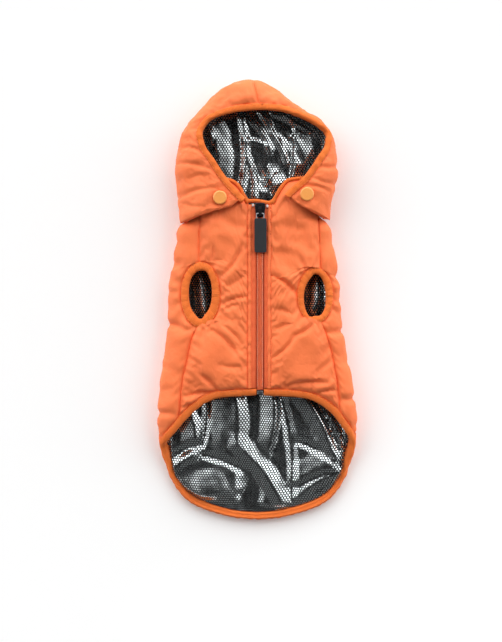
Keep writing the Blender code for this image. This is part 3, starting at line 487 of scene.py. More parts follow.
# %% Cloth materials
def shell_material(name, base, dark, rough=0.62):
    """Puffed polyester: soft dents, crinkles of a few millimetres with painted shade in their troughs, a fine
    plain weave and a faint sheen.
    """
    m = Shader(name)
    place = m.node("ShaderNodeTexCoord").outputs["Object"]
    patches = m.noise(place, 22.0, 2.0)
    crinkles = m.noise(place, 170.0, 3.0, distortion=0.6)
    fine = m.noise(place, 620.0, 2.0)
    warp = m.wave(place, 520.0, "X", 0.4)
    weft = m.wave(place, 520.0, "Y", 0.4)
    weave = m.math("MULTIPLY", warp, weft)
    tint = m.mix(m.span(patches, 0.35, 0.65, 0.0, 0.3), base, dark)
    # painted shade: the crinkles' low parts, which the bump below sinks, are tinted towards the darker orange
    tint = m.mix(m.span(crinkles, 0.25, 0.5, 0.22, 0.0), tint, dark)
    soft = m.bump(m.noise(place, 55.0, 1.0, distortion=0.3), 0.0014, 0.55)
    creased = m.bump(crinkles, 0.0007, 0.6, soft)
    grainy = m.bump(fine, 0.0002, 0.5, creased)
    woven = m.bump(weave, 0.00006, 0.7, grainy)
    return m.set(Base_Color=tint, Normal=woven, Sheen_Weight=0.22,
                 Roughness=m.span(crinkles, 0.2, 0.8, rough - 0.08, rough + 0.08), Sheen_Roughness=0.45,
                 Sheen_Tint=colour(1.0, 0.62, 0.42),
                 Specular_IOR_Level=0.35)


def ribbed_material(name, base, dark):
    """Elastic binding: a matt knit with fine ribs across it, which run with the piece's own UV map, and
    painted shade in the grooves between them.
    """
    m = Shader(name)
    uv = m.node("ShaderNodeTexCoord").outputs["UV"]
    place = m.node("ShaderNodeTexCoord").outputs["Object"]
    ribs = m.wave(uv, 260.0, "X", 0.8)
    rows = m.wave(uv, 420.0, "Y", 0.3)
    mottle = m.noise(place, 90.0, 3.0)
    tint = m.mix(m.span(mottle, 0.3, 0.7, 0.0, 0.6), base, dark)
    # painted shade: the ribs' low parts, which the bump sinks, are tinted darker
    tint = m.mix(m.span(ribs, 0.0, 0.6, 0.35, 0.0), tint, dark)
    ribbed = m.bump(ribs, 0.00025, 0.7)
    knitted = m.bump(rows, 0.00012, 0.6, ribbed)
    rumpled = m.bump(mottle, 0.0006, 0.5, knitted)
    return m.set(Base_Color=tint, Roughness=0.78, Normal=rumpled, Sheen_Weight=0.15,
                 Sheen_Tint=colour(1.0, 0.6, 0.4), Specular_IOR_Level=0.25)


def lining_material(name, pitch, dot):
    """Black film cloth with silver dots on a hexagonal lattice, from the piece's UV map.

    A point's distance to the nearest dot is the smaller of its distances to
    two rectangular lattices, one set half a cell off the other.
    """
    m = Shader(name)
    uv = m.node("ShaderNodeTexCoord").outputs["UV"]
    place = m.node("ShaderNodeTexCoord").outputs["Object"]
    row = pitch * 3 ** 0.5
    cell = (pitch, row, 1.0)
    half = (pitch / 2, row / 2, 0.5)
    into_positive = (pitch * 400, row * 400, 0)    # a remainder needs a number above 0
    nearest = []
    for shift in ((0, 0, 0), half):
        moved = m.vector("ADD", m.vector("ADD", uv, shift)[0], into_positive)[0]
        wrapped = m.vector("MODULO", moved, cell)[0]
        off = m.vector("SUBTRACT", wrapped, half)[0]
        flat = m.vector("MULTIPLY", off, (1, 1, 0))[0]
        nearest.append(m.vector("LENGTH", flat)[1])
    distance = m.math("MINIMUM", *nearest)
    silver = m.span(distance, dot * 0.86, dot * 1.12, 1.0, 0.0)
    wear = m.noise(place, 60.0, 3.0)
    silver = m.math("MULTIPLY", silver, m.span(wear, 0.25, 0.45, 0.75, 1.0))
    tint = m.mix(silver, (0.003, 0.003, 0.0035), (0.84, 0.90, 0.91))
    crinkle = m.bump(m.noise(place, 70.0, 2.0, distortion=0.5), 0.0007, 0.45)
    fine = m.bump(m.noise(place, 420.0, 2.0), 0.00008, 0.4, crinkle)
    raised = m.bump(silver, 0.00003, 0.4, fine)
    return m.set(Base_Color=tint, Metallic=silver, Normal=raised,
                 Roughness=m.span(silver, 0.0, 1.0, 0.36, 0.13), Specular_IOR_Level=0.06)


def woven_tape(name, base, dark):
    """Zip tape: a herringbone of two waves with painted shade in its grooves, and a faint rib down its
    length.
    """
    m = Shader(name)
    place = m.node("ShaderNodeTexCoord").outputs["Object"]
    across = m.wave(place, 300.0, "DIAGONAL", 0.5)
    down = m.wave(place, 420.0, "X", 0.2)
    # painted shade: the herringbone's low parts, which the bump sinks, are tinted darker
    tint = m.mix(m.span(across, 0.0, 1.0, 0.5, 0.0), base, dark)
    bumps = m.bump(down, 0.0001, 0.6, m.bump(across, 0.00018, 0.7))
    return m.set(Base_Color=tint, Roughness=0.7, Normal=bumps, Sheen_Weight=0.1, Specular_IOR_Level=0.3)


def plain_material(name, base, rough, metallic=0.0, grain=400.0, depth=0.00004, coat=0.0):
    """Moulded or drawn stock: one colour with a fine grain in its bump and roughness."""
    m = Shader(name)
    place = m.node("ShaderNodeTexCoord").outputs["Object"]
    speckle = m.noise(place, grain, 3.0)
    broad = m.noise(place, grain / 8, 2.0)
    low = tuple(0.86 * c for c in base)
    tint = m.mix(m.span(broad, 0.35, 0.7, 0.0, 0.7), base, low)
    return m.set(Base_Color=tint, Metallic=metallic, Normal=m.bump(speckle, depth, 0.6), Coat_Weight=coat,
                 Roughness=m.span(speckle, 0.3, 0.7, rough * 0.85, rough * 1.15), Specular_IOR_Level=0.5)


SHELL = shell_material("shell_cloth", (1.0, 0.216, 0.064), (0.90, 0.168, 0.044))
BINDING = ribbed_material("binding_elastic", (0.96, 0.215, 0.038), (0.80, 0.15, 0.022))
DOTTED = lining_material("dotted_lining", 0.0023, 0.00073)
TAPE = woven_tape("zip_tape_cloth", (0.96, 0.172, 0.055), (0.72, 0.105, 0.03))
COIL = plain_material("zip_coil_nylon", (0.94, 0.17, 0.05), 0.36, grain=900.0)
THREAD = plain_material("thread_orange", (0.95, 0.25, 0.07), 0.6, grain=1500.0)
PALE_THREAD = plain_material("thread_pale", (0.95, 0.50, 0.30), 0.55, grain=1500.0)
DARK_THREAD = plain_material("thread_dark", (0.72, 0.105, 0.03), 0.6, grain=1500.0)
# painted shade: the core cord is a real part, but its colour, much darker than the coil's, stands for the
# shade in the gaps between and beside the teeth
SHADED_COIL_CORE = plain_material("coil_core_cord_painted_shade", (0.50, 0.055, 0.015), 0.6, grain=900.0)
SNAP = plain_material("snap_plastic", (1.0, 0.40, 0.10), 0.34, grain=700.0, coat=0.25)
METAL = plain_material("grey_metal", (0.36, 0.36, 0.38), 0.30, metallic=1.0, grain=900.0)
GLOSS_BLACK = plain_material("gloss_black_metal", (0.03, 0.03, 0.034), 0.2, metallic=0.5, grain=500.0,
                             depth=0.00001, coat=0.6)
RUBBER = plain_material("black_rubber", (0.022, 0.024, 0.028), 0.48, grain=1100.0, depth=0.00006)
STOP = plain_material("pale_stop", (0.86, 0.76, 0.70), 0.35, grain=900.0)
print("materials:", len(bpy.data.materials))

# %% [markdown]
# ## Building blocks
#
# The real panels are two cloths with wadding between them, sewn down along their edges. Seams pull the
# cloth in and the wadding pushes it out, so it puckers beside each seam and is smooth in the middle.
# Sculpting could give that look, but it would be hard to repeat. Here a few fields do it, each a formula
# over the whole grid: ripples beside the seams, a soft unevenness, and grooves along a table of short
# lines.

# %% Grid measures
def arc_lengths(points):
    """Lengths along rows (from the first column) and along columns (from the first row)."""
    across = np.linalg.norm(np.diff(points, axis=1), axis=-1)
    down = np.linalg.norm(np.diff(points, axis=0), axis=-1)
    along_columns = np.concatenate([np.zeros((points.shape[0], 1)), np.cumsum(across, axis=1)], axis=1)
    along_rows = np.concatenate([np.zeros((1, points.shape[1])), np.cumsum(down, axis=0)], axis=0)
    return along_columns, along_rows


def ripples(along, wavelength, seed):
    """Five sines near one wavelength with seeded phases, so gathers never repeat exactly."""
    rng = np.random.default_rng(seed)
    total = np.zeros_like(np.asarray(along, float))
    for _ in range(5):
        stretch = wavelength * rng.uniform(0.65, 1.6)
        total = total + np.sin(2 * pi * along / stretch + rng.uniform(0, 2 * pi))
    return total / 5 ** 0.5


def above_ground(points):
    """0 where the cloth lies on the ground, up to 5 mm, and 1 from 12 mm up."""
    return np.clip((points[..., 2] - 5.0) / 7.0, 0, 1)


def soft_noise(points, wavelength, seed):
    """A smooth field in space: seven plane waves in seeded directions."""
    rng = np.random.default_rng(seed)
    total = np.zeros(points.shape[:-1])
    for _ in range(7):
        way = rng.normal(size=3)
        way /= np.linalg.norm(way)
        total = total + np.sin(2 * pi / (wavelength * rng.uniform(0.7, 1.5)) * (points @ way)
                               + rng.uniform(0, 2 * pi))
    return total / 7 ** 0.5


def along_line(points, x0, y0, x1, y1):
    """Where points lie beside a line, seen from above.

    The share along it, the distance to its left and the distance past its
    ends. A slight bow keeps the line from looking ruled.
    """
    dx, dy = x1 - x0, y1 - y0
    length = np.hypot(dx, dy)
    x, y = points[..., 0] - x0, points[..., 1] - y0
    share = (x * dx + y * dy) / length ** 2
    inside = np.clip(share, 0, 1)
    off = (x * -dy + y * dx) / length - 0.06 * length * np.sin(pi * inside)
    return inside, off, (share - inside) * length


def creases(points, table, narrow=1.0):
    """The push of a table of creases at each point.

    Each is a groove along its line, shaped like a bell curve, with a soft bank
    that is higher on the left. narrow below 1 makes every groove narrower.
    """
    push = np.zeros(points.shape[:-1])
    for *line, width, depth in table:
        inside, off, past = along_line(points, *line)
        away = np.hypot(off, past)
        fade = np.sin(pi * np.clip(0.08 + 0.84 * inside, 0, 1)) ** 0.6
        width = width * narrow
        beside = np.where(off > 0, 0.34, 0.16) * np.exp(-((away - 2.6 * width) / (1.9 * width)) ** 2)
        push = push + depth * fade * (beside - np.exp(-(away / width) ** 2))
    return push


print("a 9 mm ripple, every 3 mm:", ripples(np.arange(0.0, 18.0, 3.0), 9.0, 1).round(2))

# %% [markdown]
# ### From points to pieces
#
# A mesh is a list of points and a list of faces. For a grid, a tube or a row of small spindles the faces
# follow from the counts alone, so each kind has one function. `finished` makes the object.

# %% Meshes from grids
SHARP_ANGLE = 60


def finished(name, vertices, faces, material, uvs=None):
    """A smooth-shaded object of the coat from millimetre points. uvs has one pair for each vertex."""
    mesh = bpy.data.meshes.new(name)
    mesh.from_pydata((np.asarray(vertices) * MM).tolist(), [], faces)
    if uvs is not None:
        layer = mesh.uv_layers.new(name="cloth")
        corner = np.empty(len(mesh.loops), np.int64)
        mesh.loops.foreach_get("vertex_index", corner)
        layer.data.foreach_set("uv", (np.asarray(uvs)[corner] * MM).astype(np.float32).ravel())
    work = bmesh.new()
    work.from_mesh(mesh)
    bmesh.ops.recalc_face_normals(work, faces=work.faces)
    if work.calc_volume(signed=True) < 0:
        bmesh.ops.reverse_faces(work, faces=work.faces)
    work.to_mesh(mesh)
    work.free()
    mesh.shade_smooth()
    mesh.set_sharp_from_angle(angle=radians(SHARP_ANGLE))
    mesh.materials.append(material)
    obj = bpy.data.objects.new(name, mesh)
    bpy.context.scene.collection.objects.link(obj)
    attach(obj, "coat")
    return obj


def grid_faces(rows, columns, closed_columns=False):
    """Faces of a grid of points, whose last column meets its first one where closed."""
    number = np.arange(rows * columns).reshape(rows, columns)
    if closed_columns:
        number = np.concatenate([number, number[:, :1]], axis=1)
    return np.stack([number[:-1, :-1], number[:-1, 1:], number[1:, 1:], number[1:, :-1]], -1).reshape(-1, 4)


def ring_quads(here, following):
    """Quads between rings of point numbers and the rings that follow them."""
    return np.stack([here, np.roll(here, -1, 1), np.roll(following, -1, 1), following], -1).reshape(-1, 4)


def tube_faces(stations, sides, closed=False):
    """Faces of a tube of rings, which is capped at both ends or runs back into itself."""
    number = np.arange(stations * sides).reshape(stations, sides)
    if closed:
        return ring_quads(number, np.roll(number, -1, axis=0)).tolist()
    return ring_quads(number[:-1], number[1:]).tolist() + [number[0, ::-1].tolist(), number[-1].tolist()]


SPINDLE_RINGS, SPINDLE_SIDES = 5, 6
SPINDLE_ANGLES = np.arange(SPINDLE_SIDES) * 2 * pi / SPINDLE_SIDES


def spindle_faces(count):
    """Faces of many slim capped spindles, which stand for stitches and for coil teeth."""
    size = SPINDLE_RINGS * SPINDLE_SIDES
    base = np.arange(count)[:, None] * size
    local = np.arange(size).reshape(SPINDLE_RINGS, SPINDLE_SIDES)
    faces = (base[:, :, None] + ring_quads(local[:-1], local[1:])[None]).reshape(-1, 4).tolist()
    for end in (local[0, ::-1], local[-1]):
        faces += (base + end[None]).tolist()
    return faces


def cloth_wall(name, outer, inner, material, uvs=None):
    """A closed wall between an outer and an inner grid of the same size."""
    rows, columns = outer.shape[:2]
    size = rows * columns
    number = np.arange(size).reshape(rows, columns)
    front = grid_faces(rows, columns)
    border = np.concatenate([number[0, :], number[1:, -1], number[-1, -2::-1], number[-2:0:-1, 0]])
    following = np.roll(border, -1)
    rim = np.column_stack([border, border + size, following + size, following])
    faces = front.tolist() + (front[:, ::-1] + size).tolist() + rim.tolist()
    vertices = np.concatenate([outer.reshape(-1, 3), inner.reshape(-1, 3)])
    both = None if uvs is None else np.concatenate([uvs.reshape(-1, 2)] * 2)
    return finished(name, vertices, faces, material, both)


print("faces of one spindle:", len(spindle_faces(1)))

# %% [markdown]
# ### Letting the cloth wrinkle by itself
#
# Formulas alone look too even. The belly and hood panels are cut a little larger than their frames, so
# their cloth has to wrinkle. A short cloth simulation does that: the edges are sewn down, a pressure
# stands for the wadding, and the sheet finds its own folds. The result is kept only within a cap of where
# each point started, because a simulation may also balloon, and the coat has to keep its size.

# %% Cloth simulation of one sheet
FRAMES = 14
CAP_IN = 1.6        # the furthest a point may sink
SLIDE = 2.0         # the furthest it may slide along the cloth


def wrinkle(points, normals, held, growth, pressure, cap_out, seed):
    """Lets a sheet that is cut too large for its frame wrinkle, and returns its new points.

    held is 1 at points that are sewn down and 0 at free ones. growth is how
    much larger the cloth is than its frame. Each point then stays within the
    caps, measured along its normal.
    """
    rows, columns = points.shape[:2]
    start = points + normals * (0.25 * soft_noise(points, 14.0, seed))[..., None] * (1 - held)[..., None]
    mesh = bpy.data.meshes.new("wrinkle_work")
    mesh.from_pydata((start.reshape(-1, 3) * MM).tolist(), [], grid_faces(rows, columns)[:, ::-1].tolist())
    obj = bpy.data.objects.new("wrinkle_work", mesh)
    bpy.context.scene.collection.objects.link(obj)
    group = obj.vertex_groups.new(name="held")
    for index, weight in enumerate(held.ravel().tolist()):
        if weight > 0.01:
            group.add([index], weight, "REPLACE")
    cloth = obj.modifiers.new("cloth", "CLOTH")
    settings = cloth.settings
    settings.quality = 6
    settings.mass = 0.12
    settings.tension_stiffness = 12
    settings.compression_stiffness = 12
    settings.shear_stiffness = 4
    settings.bending_stiffness = 0.02
    settings.tension_damping = settings.compression_damping = settings.shear_damping = 3
    settings.bending_damping = 0.3
    settings.air_damping = 2
    settings.shrink_min = -growth
    settings.use_pressure = True
    settings.uniform_pressure_force = pressure
    settings.effector_weights.gravity = 0
    settings.vertex_group_mass = "held"
    cloth.collision_settings.use_collision = False
    cloth.point_cache.frame_end = FRAMES
    scene = bpy.context.scene
    for number in range(1, FRAMES + 1):
        scene.frame_set(number)
    moved = obj.evaluated_get(bpy.context.evaluated_depsgraph_get()).data
    found = np.empty(len(moved.vertices) * 3)
    moved.vertices.foreach_get("co", found)
    found = found.reshape(rows, columns, 3) / MM
    bpy.data.objects.remove(obj)
    bpy.data.meshes.remove(mesh)
    scene.frame_set(1)
    shift = found - points
    rise = (shift * normals).sum(axis=-1, keepdims=True)
    slide = shift - rise * normals
    reach = np.linalg.norm(slide, axis=-1, keepdims=True)
    slide = slide * np.minimum(1, SLIDE / np.maximum(reach, 1e-6))
    facing = 0.2 + 0.8 * np.abs(normals[..., 2:])
    kept = np.clip(rise, -CAP_IN * facing, cap_out * facing)
    return points + normals * kept + slide * (1 - held)[..., None]


def refine(grid):
    """Doubles a grid's rows and columns.

    Each new point is 9/16 of its two neighbours, less 1/16 of the next two.
    """
    for axis in (0, 1):
        grid = np.moveaxis(grid, axis, 0)
        padded = np.concatenate([2 * grid[:1] - grid[1:2], grid, 2 * grid[-1:] - grid[-2:-1]])
        middle = (9 * (padded[1:-2] + padded[2:-1]) - (padded[:-3] + padded[3:])) / 16
        both = np.empty((len(grid) * 2 - 1,) + grid.shape[1:])
        both[::2] = grid
        both[1::2] = middle
        grid = np.moveaxis(both, 0, axis)
    return grid


print("frames of simulation for each panel:", FRAMES)

# %% [markdown]
# ## The padded body
#
# Two belly panels flank the zip, and one back panel wraps round both flanks. They meet at the side seams,
# and the armholes are cut across those seams. A boolean could cut the holes, but it would leave long thin
# faces that shade badly. Instead each panel's grid is drawn to its outline: the outer edge goes down the
# side seam, round the armhole's binding and down the seam again, and the other rows and columns fill in
# between.

# %% Panel grids on the body
UPPER_ROWS, HOLE_ROWS, LOWER_ROWS = 16, 34, 36
TUCK = 0.3      # how far a panel's edge runs in under a binding or the next panel


def seam_and_armhole(side, belly, clear):
    """(q, v) of a panel's outer edge: down the seam, round the armhole, and down the seam again."""
    seam, hole = SEAMS[side], ARMHOLES[side]
    (cx, cy), (rx, ry) = hole["centre"], hole["outer"]
    rx, ry = rx + clear, ry + clear
    top, bottom = (angle if belly else -angle for angle in seam["turn"])
    angles = np.radians(np.linspace(90 + top, -90 - bottom, HOLE_ROWS))
    outwards = np.sign(cx) * (-1 if belly else 1)
    hole_x, hole_y = cx + outwards * rx * np.cos(angles), cy + ry * np.sin(angles)
    upper_y = np.linspace(seam["upper_y"][0] - NECK_BAND - 4, hole_y[0], UPPER_ROWS)
    upper_x = smooth(seam["upper_y"] + (hole_y[0],), seam["upper_x"] + (hole_x[0],), upper_y)
    lower_y = np.linspace(hole_y[-1], seam["lower_y"][-1], LOWER_ROWS)
    lower_x = smooth((hole_y[-1],) + seam["lower_y"], (hole_x[-1],) + seam["lower_x"], lower_y)
    x = np.concatenate([upper_x, hole_x[1:-1], lower_x])
    y = np.concatenate([upper_y, hole_y[1:-1], lower_y])
    q, v = locate(x, y)
    v[0] = inset(q[0], NECK_BAND - TUCK, False)
    v[-1] = inset(q[-1], HEM_BAND - TUCK, True)
    return np.column_stack([q, v])


def belly_grid(side, columns):
    """Surface coordinates of a belly panel, with q rising along each row.

    A patch between four curves: the two blends of facing curves added, less
    the blend of the four corners.
    """
    outer = seam_and_armhole(side, True, -TUCK)
    zip_x = TAPE_RIGHT - TUCK if side == "right" else TAPE_LEFT + TUCK
    rows = body_point(outer[:, 0], outer[:, 1])[:, 1]
    top_q, low_q = locate(zip_x, 88.0)[0], locate(zip_x, -80.0)[0]
    share = (rows - rows[0]) / (rows[-1] - rows[0])
    top_v, low_v = inset(top_q, NECK_BAND - TUCK, False), inset(low_q, HEM_BAND - TUCK, True)
    top_y, low_y = body_point(top_q, top_v)[1], body_point(low_q, low_v)[1]
    inner = np.column_stack(locate(zip_x, top_y + (low_y - top_y) * share))
    shares = np.linspace(0, 1, columns)
    neck_q = inner[0, 0] + (outer[0, 0] - inner[0, 0]) * shares
    hem_q = inner[-1, 0] + (outer[-1, 0] - inner[-1, 0]) * shares
    neck = np.column_stack([neck_q, inset(neck_q, NECK_BAND - TUCK, False)])
    hem = np.column_stack([hem_q, inset(hem_q, HEM_BAND - TUCK, True)])
    inner[0], inner[-1] = neck[0], hem[0]
    a, b = shares[None, :, None], share[:, None, None]
    ruled = (1 - a) * inner[:, None] + a * outer[:, None] + (1 - b) * neck[None] + b * hem[None]
    corners = ((1 - a) * (1 - b) * inner[:1, None] + a * (1 - b) * outer[:1, None]
               + (1 - a) * b * inner[-1:, None] + a * b * outer[-1:, None])
    grid = ruled - corners
    return grid if side == "right" else grid[:, ::-1]


def back_grid(columns):
    """Surface coordinates of the back panel, from the right seam round the back to the left seam.

    Every inner column keeps to one girth. The columns near a seam share out
    the distance to it.
    """
    right, left = (seam_and_armhole(side, False, -TUCK) for side in ("right", "left"))
    middle = np.linspace(0.93, 3.07, columns)
    rows = len(right)
    shares = np.linspace(0, 1, 8)[:-1]
    from_right = right[:, :1] + (middle[0] - right[:, :1]) * shares
    to_left = middle[-1] + (left[:, :1] - middle[-1]) * (1 - shares[::-1])
    q = np.concatenate([from_right, np.tile(middle, (rows, 1)), to_left], axis=1)
    neck = inset(q, NECK_BAND - TUCK, False)
    hem = inset(q, HEM_BAND - TUCK, True)
    across = (q - q[:, :1]) / (q[:, -1:] - q[:, :1])
    down = [((side[:, 1] - side[0, 1]) / (side[-1, 1] - side[0, 1]))[:, None] for side in (right, left)]
    v = neck + (hem - neck) * (down[0] * (1 - across) + down[1] * across)
    slack_right = (right[:, 1] - v[:, 0])[:, None] * np.clip(1 - (q - q[:, :1]) / 0.25, 0, 1)
    slack_left = (left[:, 1] - v[:, -1])[:, None] * np.clip(1 - (q[:, -1:] - q) / 0.25, 0, 1)
    return np.stack([q, v + slack_right + slack_left], axis=-1)


print("rows of every panel:", UPPER_ROWS + HOLE_ROWS - 2 + LOWER_ROWS)

# %% [markdown]
# ### Creases, gathers and puff
#
# Where the real coat has a fold that catches the eye, the table has one line: where it starts, where it
# ends, how wide its groove is and how deep. Round the armholes the elastic gathers the cloth in short
# rays. The puff rises from every seam and sinks at it, and a finer, sharper copy of each crease is added
# last, after the grid is doubled.

# %% Creases of the body
BELLY_CREASES = (
    # from x, y, to x, y, width, depth
    (-14, 47.5, -31, 22, 2.2, 2.6),
    (-39.5, 50, -41, 34, 2.2, 1.8),
    (-9.5, 66, -30, 71, 3.4, 1.2),
    (-33, -4, -9, 3, 2.2, 2.4),
    (-30, -9, -16, -3.5, 2, 1.4),
    (-39.5, -27, -19, -47, 2.6, 2.4),
    (-30, -23, -14, -39, 2.2, 1.8),
    (-51, -66, -36, -80, 2.6, 2.8),
    (-67, -87, -37.5, -82.5, 2.4, 2.6),
    (-68, -96, -56, -95, 2, 1.8),
    (-12, -60, -34, -57, 3.4, 1.2),
    (-12, 22, -27, 13, 2.4, 1.2),
    (37.5, 39, 42, 28, 2.2, 1.8),
    (14, 22.5, 35, 6, 2.2, 2.8),
    (50, -21, 34, -32, 2.4, 2.4),
    (34, -32, 15, -51.5, 2.4, 2.4),
    (20, -78.5, 63, -74, 2.8, 2.8),
    (50, -84.5, 72, -81, 2, 2),
    (15, 66, 42, 63, 3.4, 1.4),
    (14, -8, 31, -12, 2.8, 1.4),
    (16, -27, 30, -21, 2.4, 1.2),
    (14, 44, 34, 40, 3, 1),
)
FLANK_CREASES = (
    (-86, 31, -68, 32.5, 3.2, 2.4),
    (-86, -21, -62, -26.5, 3, 2.6),
    (-94, -102, -70, -103, 3, 2.3),
    (-90, -60, -72, -63, 3, 0.8),
    (-90, -82, -76, -80, 2.6, 0.5),
    (-84, 8, -72, 6, 2.6, 0.6),
    (-78, 52, -62, 50, 3, 0.8),
    (-92, -116, -80, -114, 2.4, 0.7),
    (78, 22, 67, 22.5, 3.2, 2.4),
    (82, -26, 60, -28.5, 3.2, 2.6),
    (94, -86, 73, -88.5, 3, 2.4),
    (90, -54, 74, -56, 3, 0.8),
    (94, -112, 80, -110, 2.6, 0.7),
    (78, 0, 70, 2, 2.6, 0.5),
    (72, 50, 60, 52, 3, 0.8),
)
SHOULDER_PUFFS = (
    # centre x, y, radius, height
    (-66.0, 64.0, 9.0, 4.2),
    (63.5, 66.0, 9.0, 3.6),
)


print("creases:", len(BELLY_CREASES) + len(FLANK_CREASES))

# %% The padded panels
def edge_distances(points):
    """Distances of each grid point from the first and last column and from the first and last row."""
    across, down = arc_lengths(points)
    return across, across[:, -1:] - across, down, down[-1:] - down


def armhole_gathers(points, seed):
    """Short radial ridges round each armhole: a ripple of the angle, which fades away from the hole."""
    push = np.zeros(points.shape[:-1])
    for hole in ARMHOLES.values():
        (cx, cy), (rx, ry) = hole["centre"], hole["outer"]
        x, y = (points[..., 0] - cx) / rx, (points[..., 1] - cy) / ry
        size = np.hypot(x, y)
        away = np.maximum(size - 1, 0) * (rx + ry) / 2
        angle = np.arctan2(y, x)
        ripple = (np.sin(13 * angle + seed) + 0.7 * np.sin(21 * angle + 2.1 * seed)
                  + 0.5 * np.sin(8 * angle + 0.4))
        push = push + 0.85 * ripple * np.exp(-away / 6.5) * (1 - np.exp(-away / 1.2)) * (size < 2.2)
    return push


GATHER_PITCH = 9.0      # length of one pucker beside a seam or along a band


def padded_panel(name, grid, surface, wall, crease_table, swell, seed, soft_edges, growth, loose,
                 pressure=1.5, sink=1.3, puffs=(), gathers=0.0):
    """A puffed panel in place of its CAD node.

    The outer face moves along its normal by a swell that rises from the
    seams, a groove at each seam, puckers that fade inwards, soft waves and
    the creases. soft_edges says how much each side gathers: first column,
    last column, first row, last row.
    """
    points, normals = surface(grid[..., 0], grid[..., 1])
    distances = edge_distances(points)
    nearest = np.minimum.reduce(distances)
    facing = np.abs(normals[..., 2])
    push = swell * (1 - np.exp(-nearest / 6.0)) - sink * np.exp(-(nearest / 1.8) ** 2)
    across, down = distances[0], distances[2]
    edges = zip(distances, (down, down, across, across), soft_edges)
    for number, (distance, along, amount) in enumerate(edges):
        shear = ripples(along, 31.0, seed + 40 + number) * distance * 0.14
        puckers = ripples(along + shear, GATHER_PITCH, seed + number)
        push = push + 0.6 * amount * puckers * np.exp(-distance / 8.0) * (1 - np.exp(-distance / 1.4))
    push = push + 1.0 * soft_noise(points, 33.0, seed + 9) * np.clip(nearest / 12, 0, 1)
    push = push * (0.25 + 0.75 * facing)
    above = above_ground(points)
    push = push * (0.3 + 0.7 * above) + gathers * armhole_gathers(points, seed) * above
    push = push + 0.75 * creases(points, crease_table) * above
    for x, y, radius, height in puffs:
        push = push + height * np.exp(-((points[..., 0] - x) ** 2 + (points[..., 1] - y) ** 2) / radius ** 2)
    shaped = points + normals * push[..., None]
    held = np.exp(-(nearest / 2.2) ** 2)
    held[[0, -1], :] = 1
    held[:, [0, -1]] = 1
    shaped = wrinkle(shaped, normals, held, growth, pressure, loose, seed)
    shaped[..., 2] = np.maximum(shaped[..., 2], 0.0)
    outer, fine_normals, seat = refine(shaped), refine(normals), refine(points)
    sharp = 0.22 * creases(seat, crease_table, 0.5) * above_ground(seat)
    outer = outer + fine_normals * sharp[..., None]
    outer[..., 2] = np.maximum(outer[..., 2], 0.0)
    base = refine(points - normals * wall)
    panel = cloth_wall(name, outer, base, SHELL)
    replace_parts(panel, name.replace("padded_", ""))
    print(name, "triangles:", 2 * len(panel.data.polygons))


BELLY_COLUMNS, BACK_COLUMNS = 34, 84
for side, seed, soft_edges in (("left", 11, (1, 0.8, 0.6, 1.1)), ("right", 23, (0.8, 1, 0.6, 1.1))):
    padded_panel(f"padded_belly_{side}", belly_grid(side, BELLY_COLUMNS), body, BODY_WALL, BELLY_CREASES, 2.6,
                 seed, soft_edges, growth=0.022, loose=1.3, gathers=0.9)
padded_panel("padded_back_panel", back_grid(BACK_COLUMNS), body, BODY_WALL, FLANK_CREASES, 1.8, 37,
             (0.8, 0.8, 0.3, 1), growth=0.0, loose=0.9, pressure=0.5, puffs=SHOULDER_PUFFS, gathers=1.0)
print("body panels done")

# %% [markdown]
# ## The hood
#
# The hood has two padded panels that meet at its centre seam, and it ends in two flaps that are snapped
# down over the shoulders. It is made like the body, on its own surface: the grids follow the ribs, so a
# row always runs square away from the face opening, as the real puckers do. Each snap presses a shallow
# dish into its flap.

# %% Hood panels
HOOD_CREASES = (
    (-70, 92, -36, 100.5, 2.2, 1.6),
    (-70, 122.5, -41, 116.5, 2.4, 1.7),
    (-66, 137, -51, 133, 2.2, 1.2),
    (-60, 109, -40, 111, 2.4, 0.9),
    (-58, 152, -46, 161, 2.6, 1.2),
    (-36, 174, -18, 186, 3.2, 1.2),
    (74, 121, 55, 119, 2.4, 1.6),
    (43, 102.5, 62, 98.5, 2.2, 1.6),
    (72, 104, 50, 109, 2.4, 1.4),
    (22, 174, 38, 167, 2.4, 1.4),
    (-46, 84, -66, 87, 2.4, 0.9),
    (66, 140, 56, 131, 2.4, 1.2),
    (-3.2, 196, 2, 171, 1.4, 1.2),    # the centre seam
)


def hood_grid(first, last, stations, columns, end_short=0.0):
    """Rib numbers and distances of a hood piece, with rows evenly spaced in rib number."""
    t = np.linspace(first, last, stations)
    ends = np.array([hood_rib(float(value))[0][-1] for value in t]) - end_short
    start = HOOD_BAND - TUCK
    s = start + (ends - start)[:, None] * np.linspace(0, 1, columns)[None, :]
    return np.stack([np.broadcast_to(t[:, None], s.shape), s], axis=-1)


TIP = 0.35      # how far the panels stop short of the flaps' tips, in ribs
LAST_RIB = len(RIBS) - 1
SNAP_PRESS = tuple((x, y, 8.5, -1.6) for x, y in SNAP_PLACES.values())
for side, first, last, seed in (("right", TIP, CENTRE_RIB, 51), ("left", CENTRE_RIB, LAST_RIB - TIP, 67)):
    padded_panel(f"padded_hood_{side}", hood_grid(first, last, 64, 40), hood, HOOD_WALL, HOOD_CREASES, 1.3,
                 seed, (0.45, 0.3, 0.3, 0.3), growth=0.02, loose=1.0, pressure=0.8, sink=0.6,
                 puffs=SNAP_PRESS)
print("hood panels done")

# %% [markdown]
# ## The lining
#
# The lining is a thin black film cloth, printed with silver dots, that lies inside the coat in loose
# folds. Only the folds' slopes make the dots flash or go dark, so the folds carry the whole look. A
# simulated sheet was too restless for the printed dots, so the folds are roofs over a table of lines,
# with one width on each side and a rounded crest. The UV map is the cloth seen from above, shifted a
# little by each fold's height, so the dots bend over the folds.

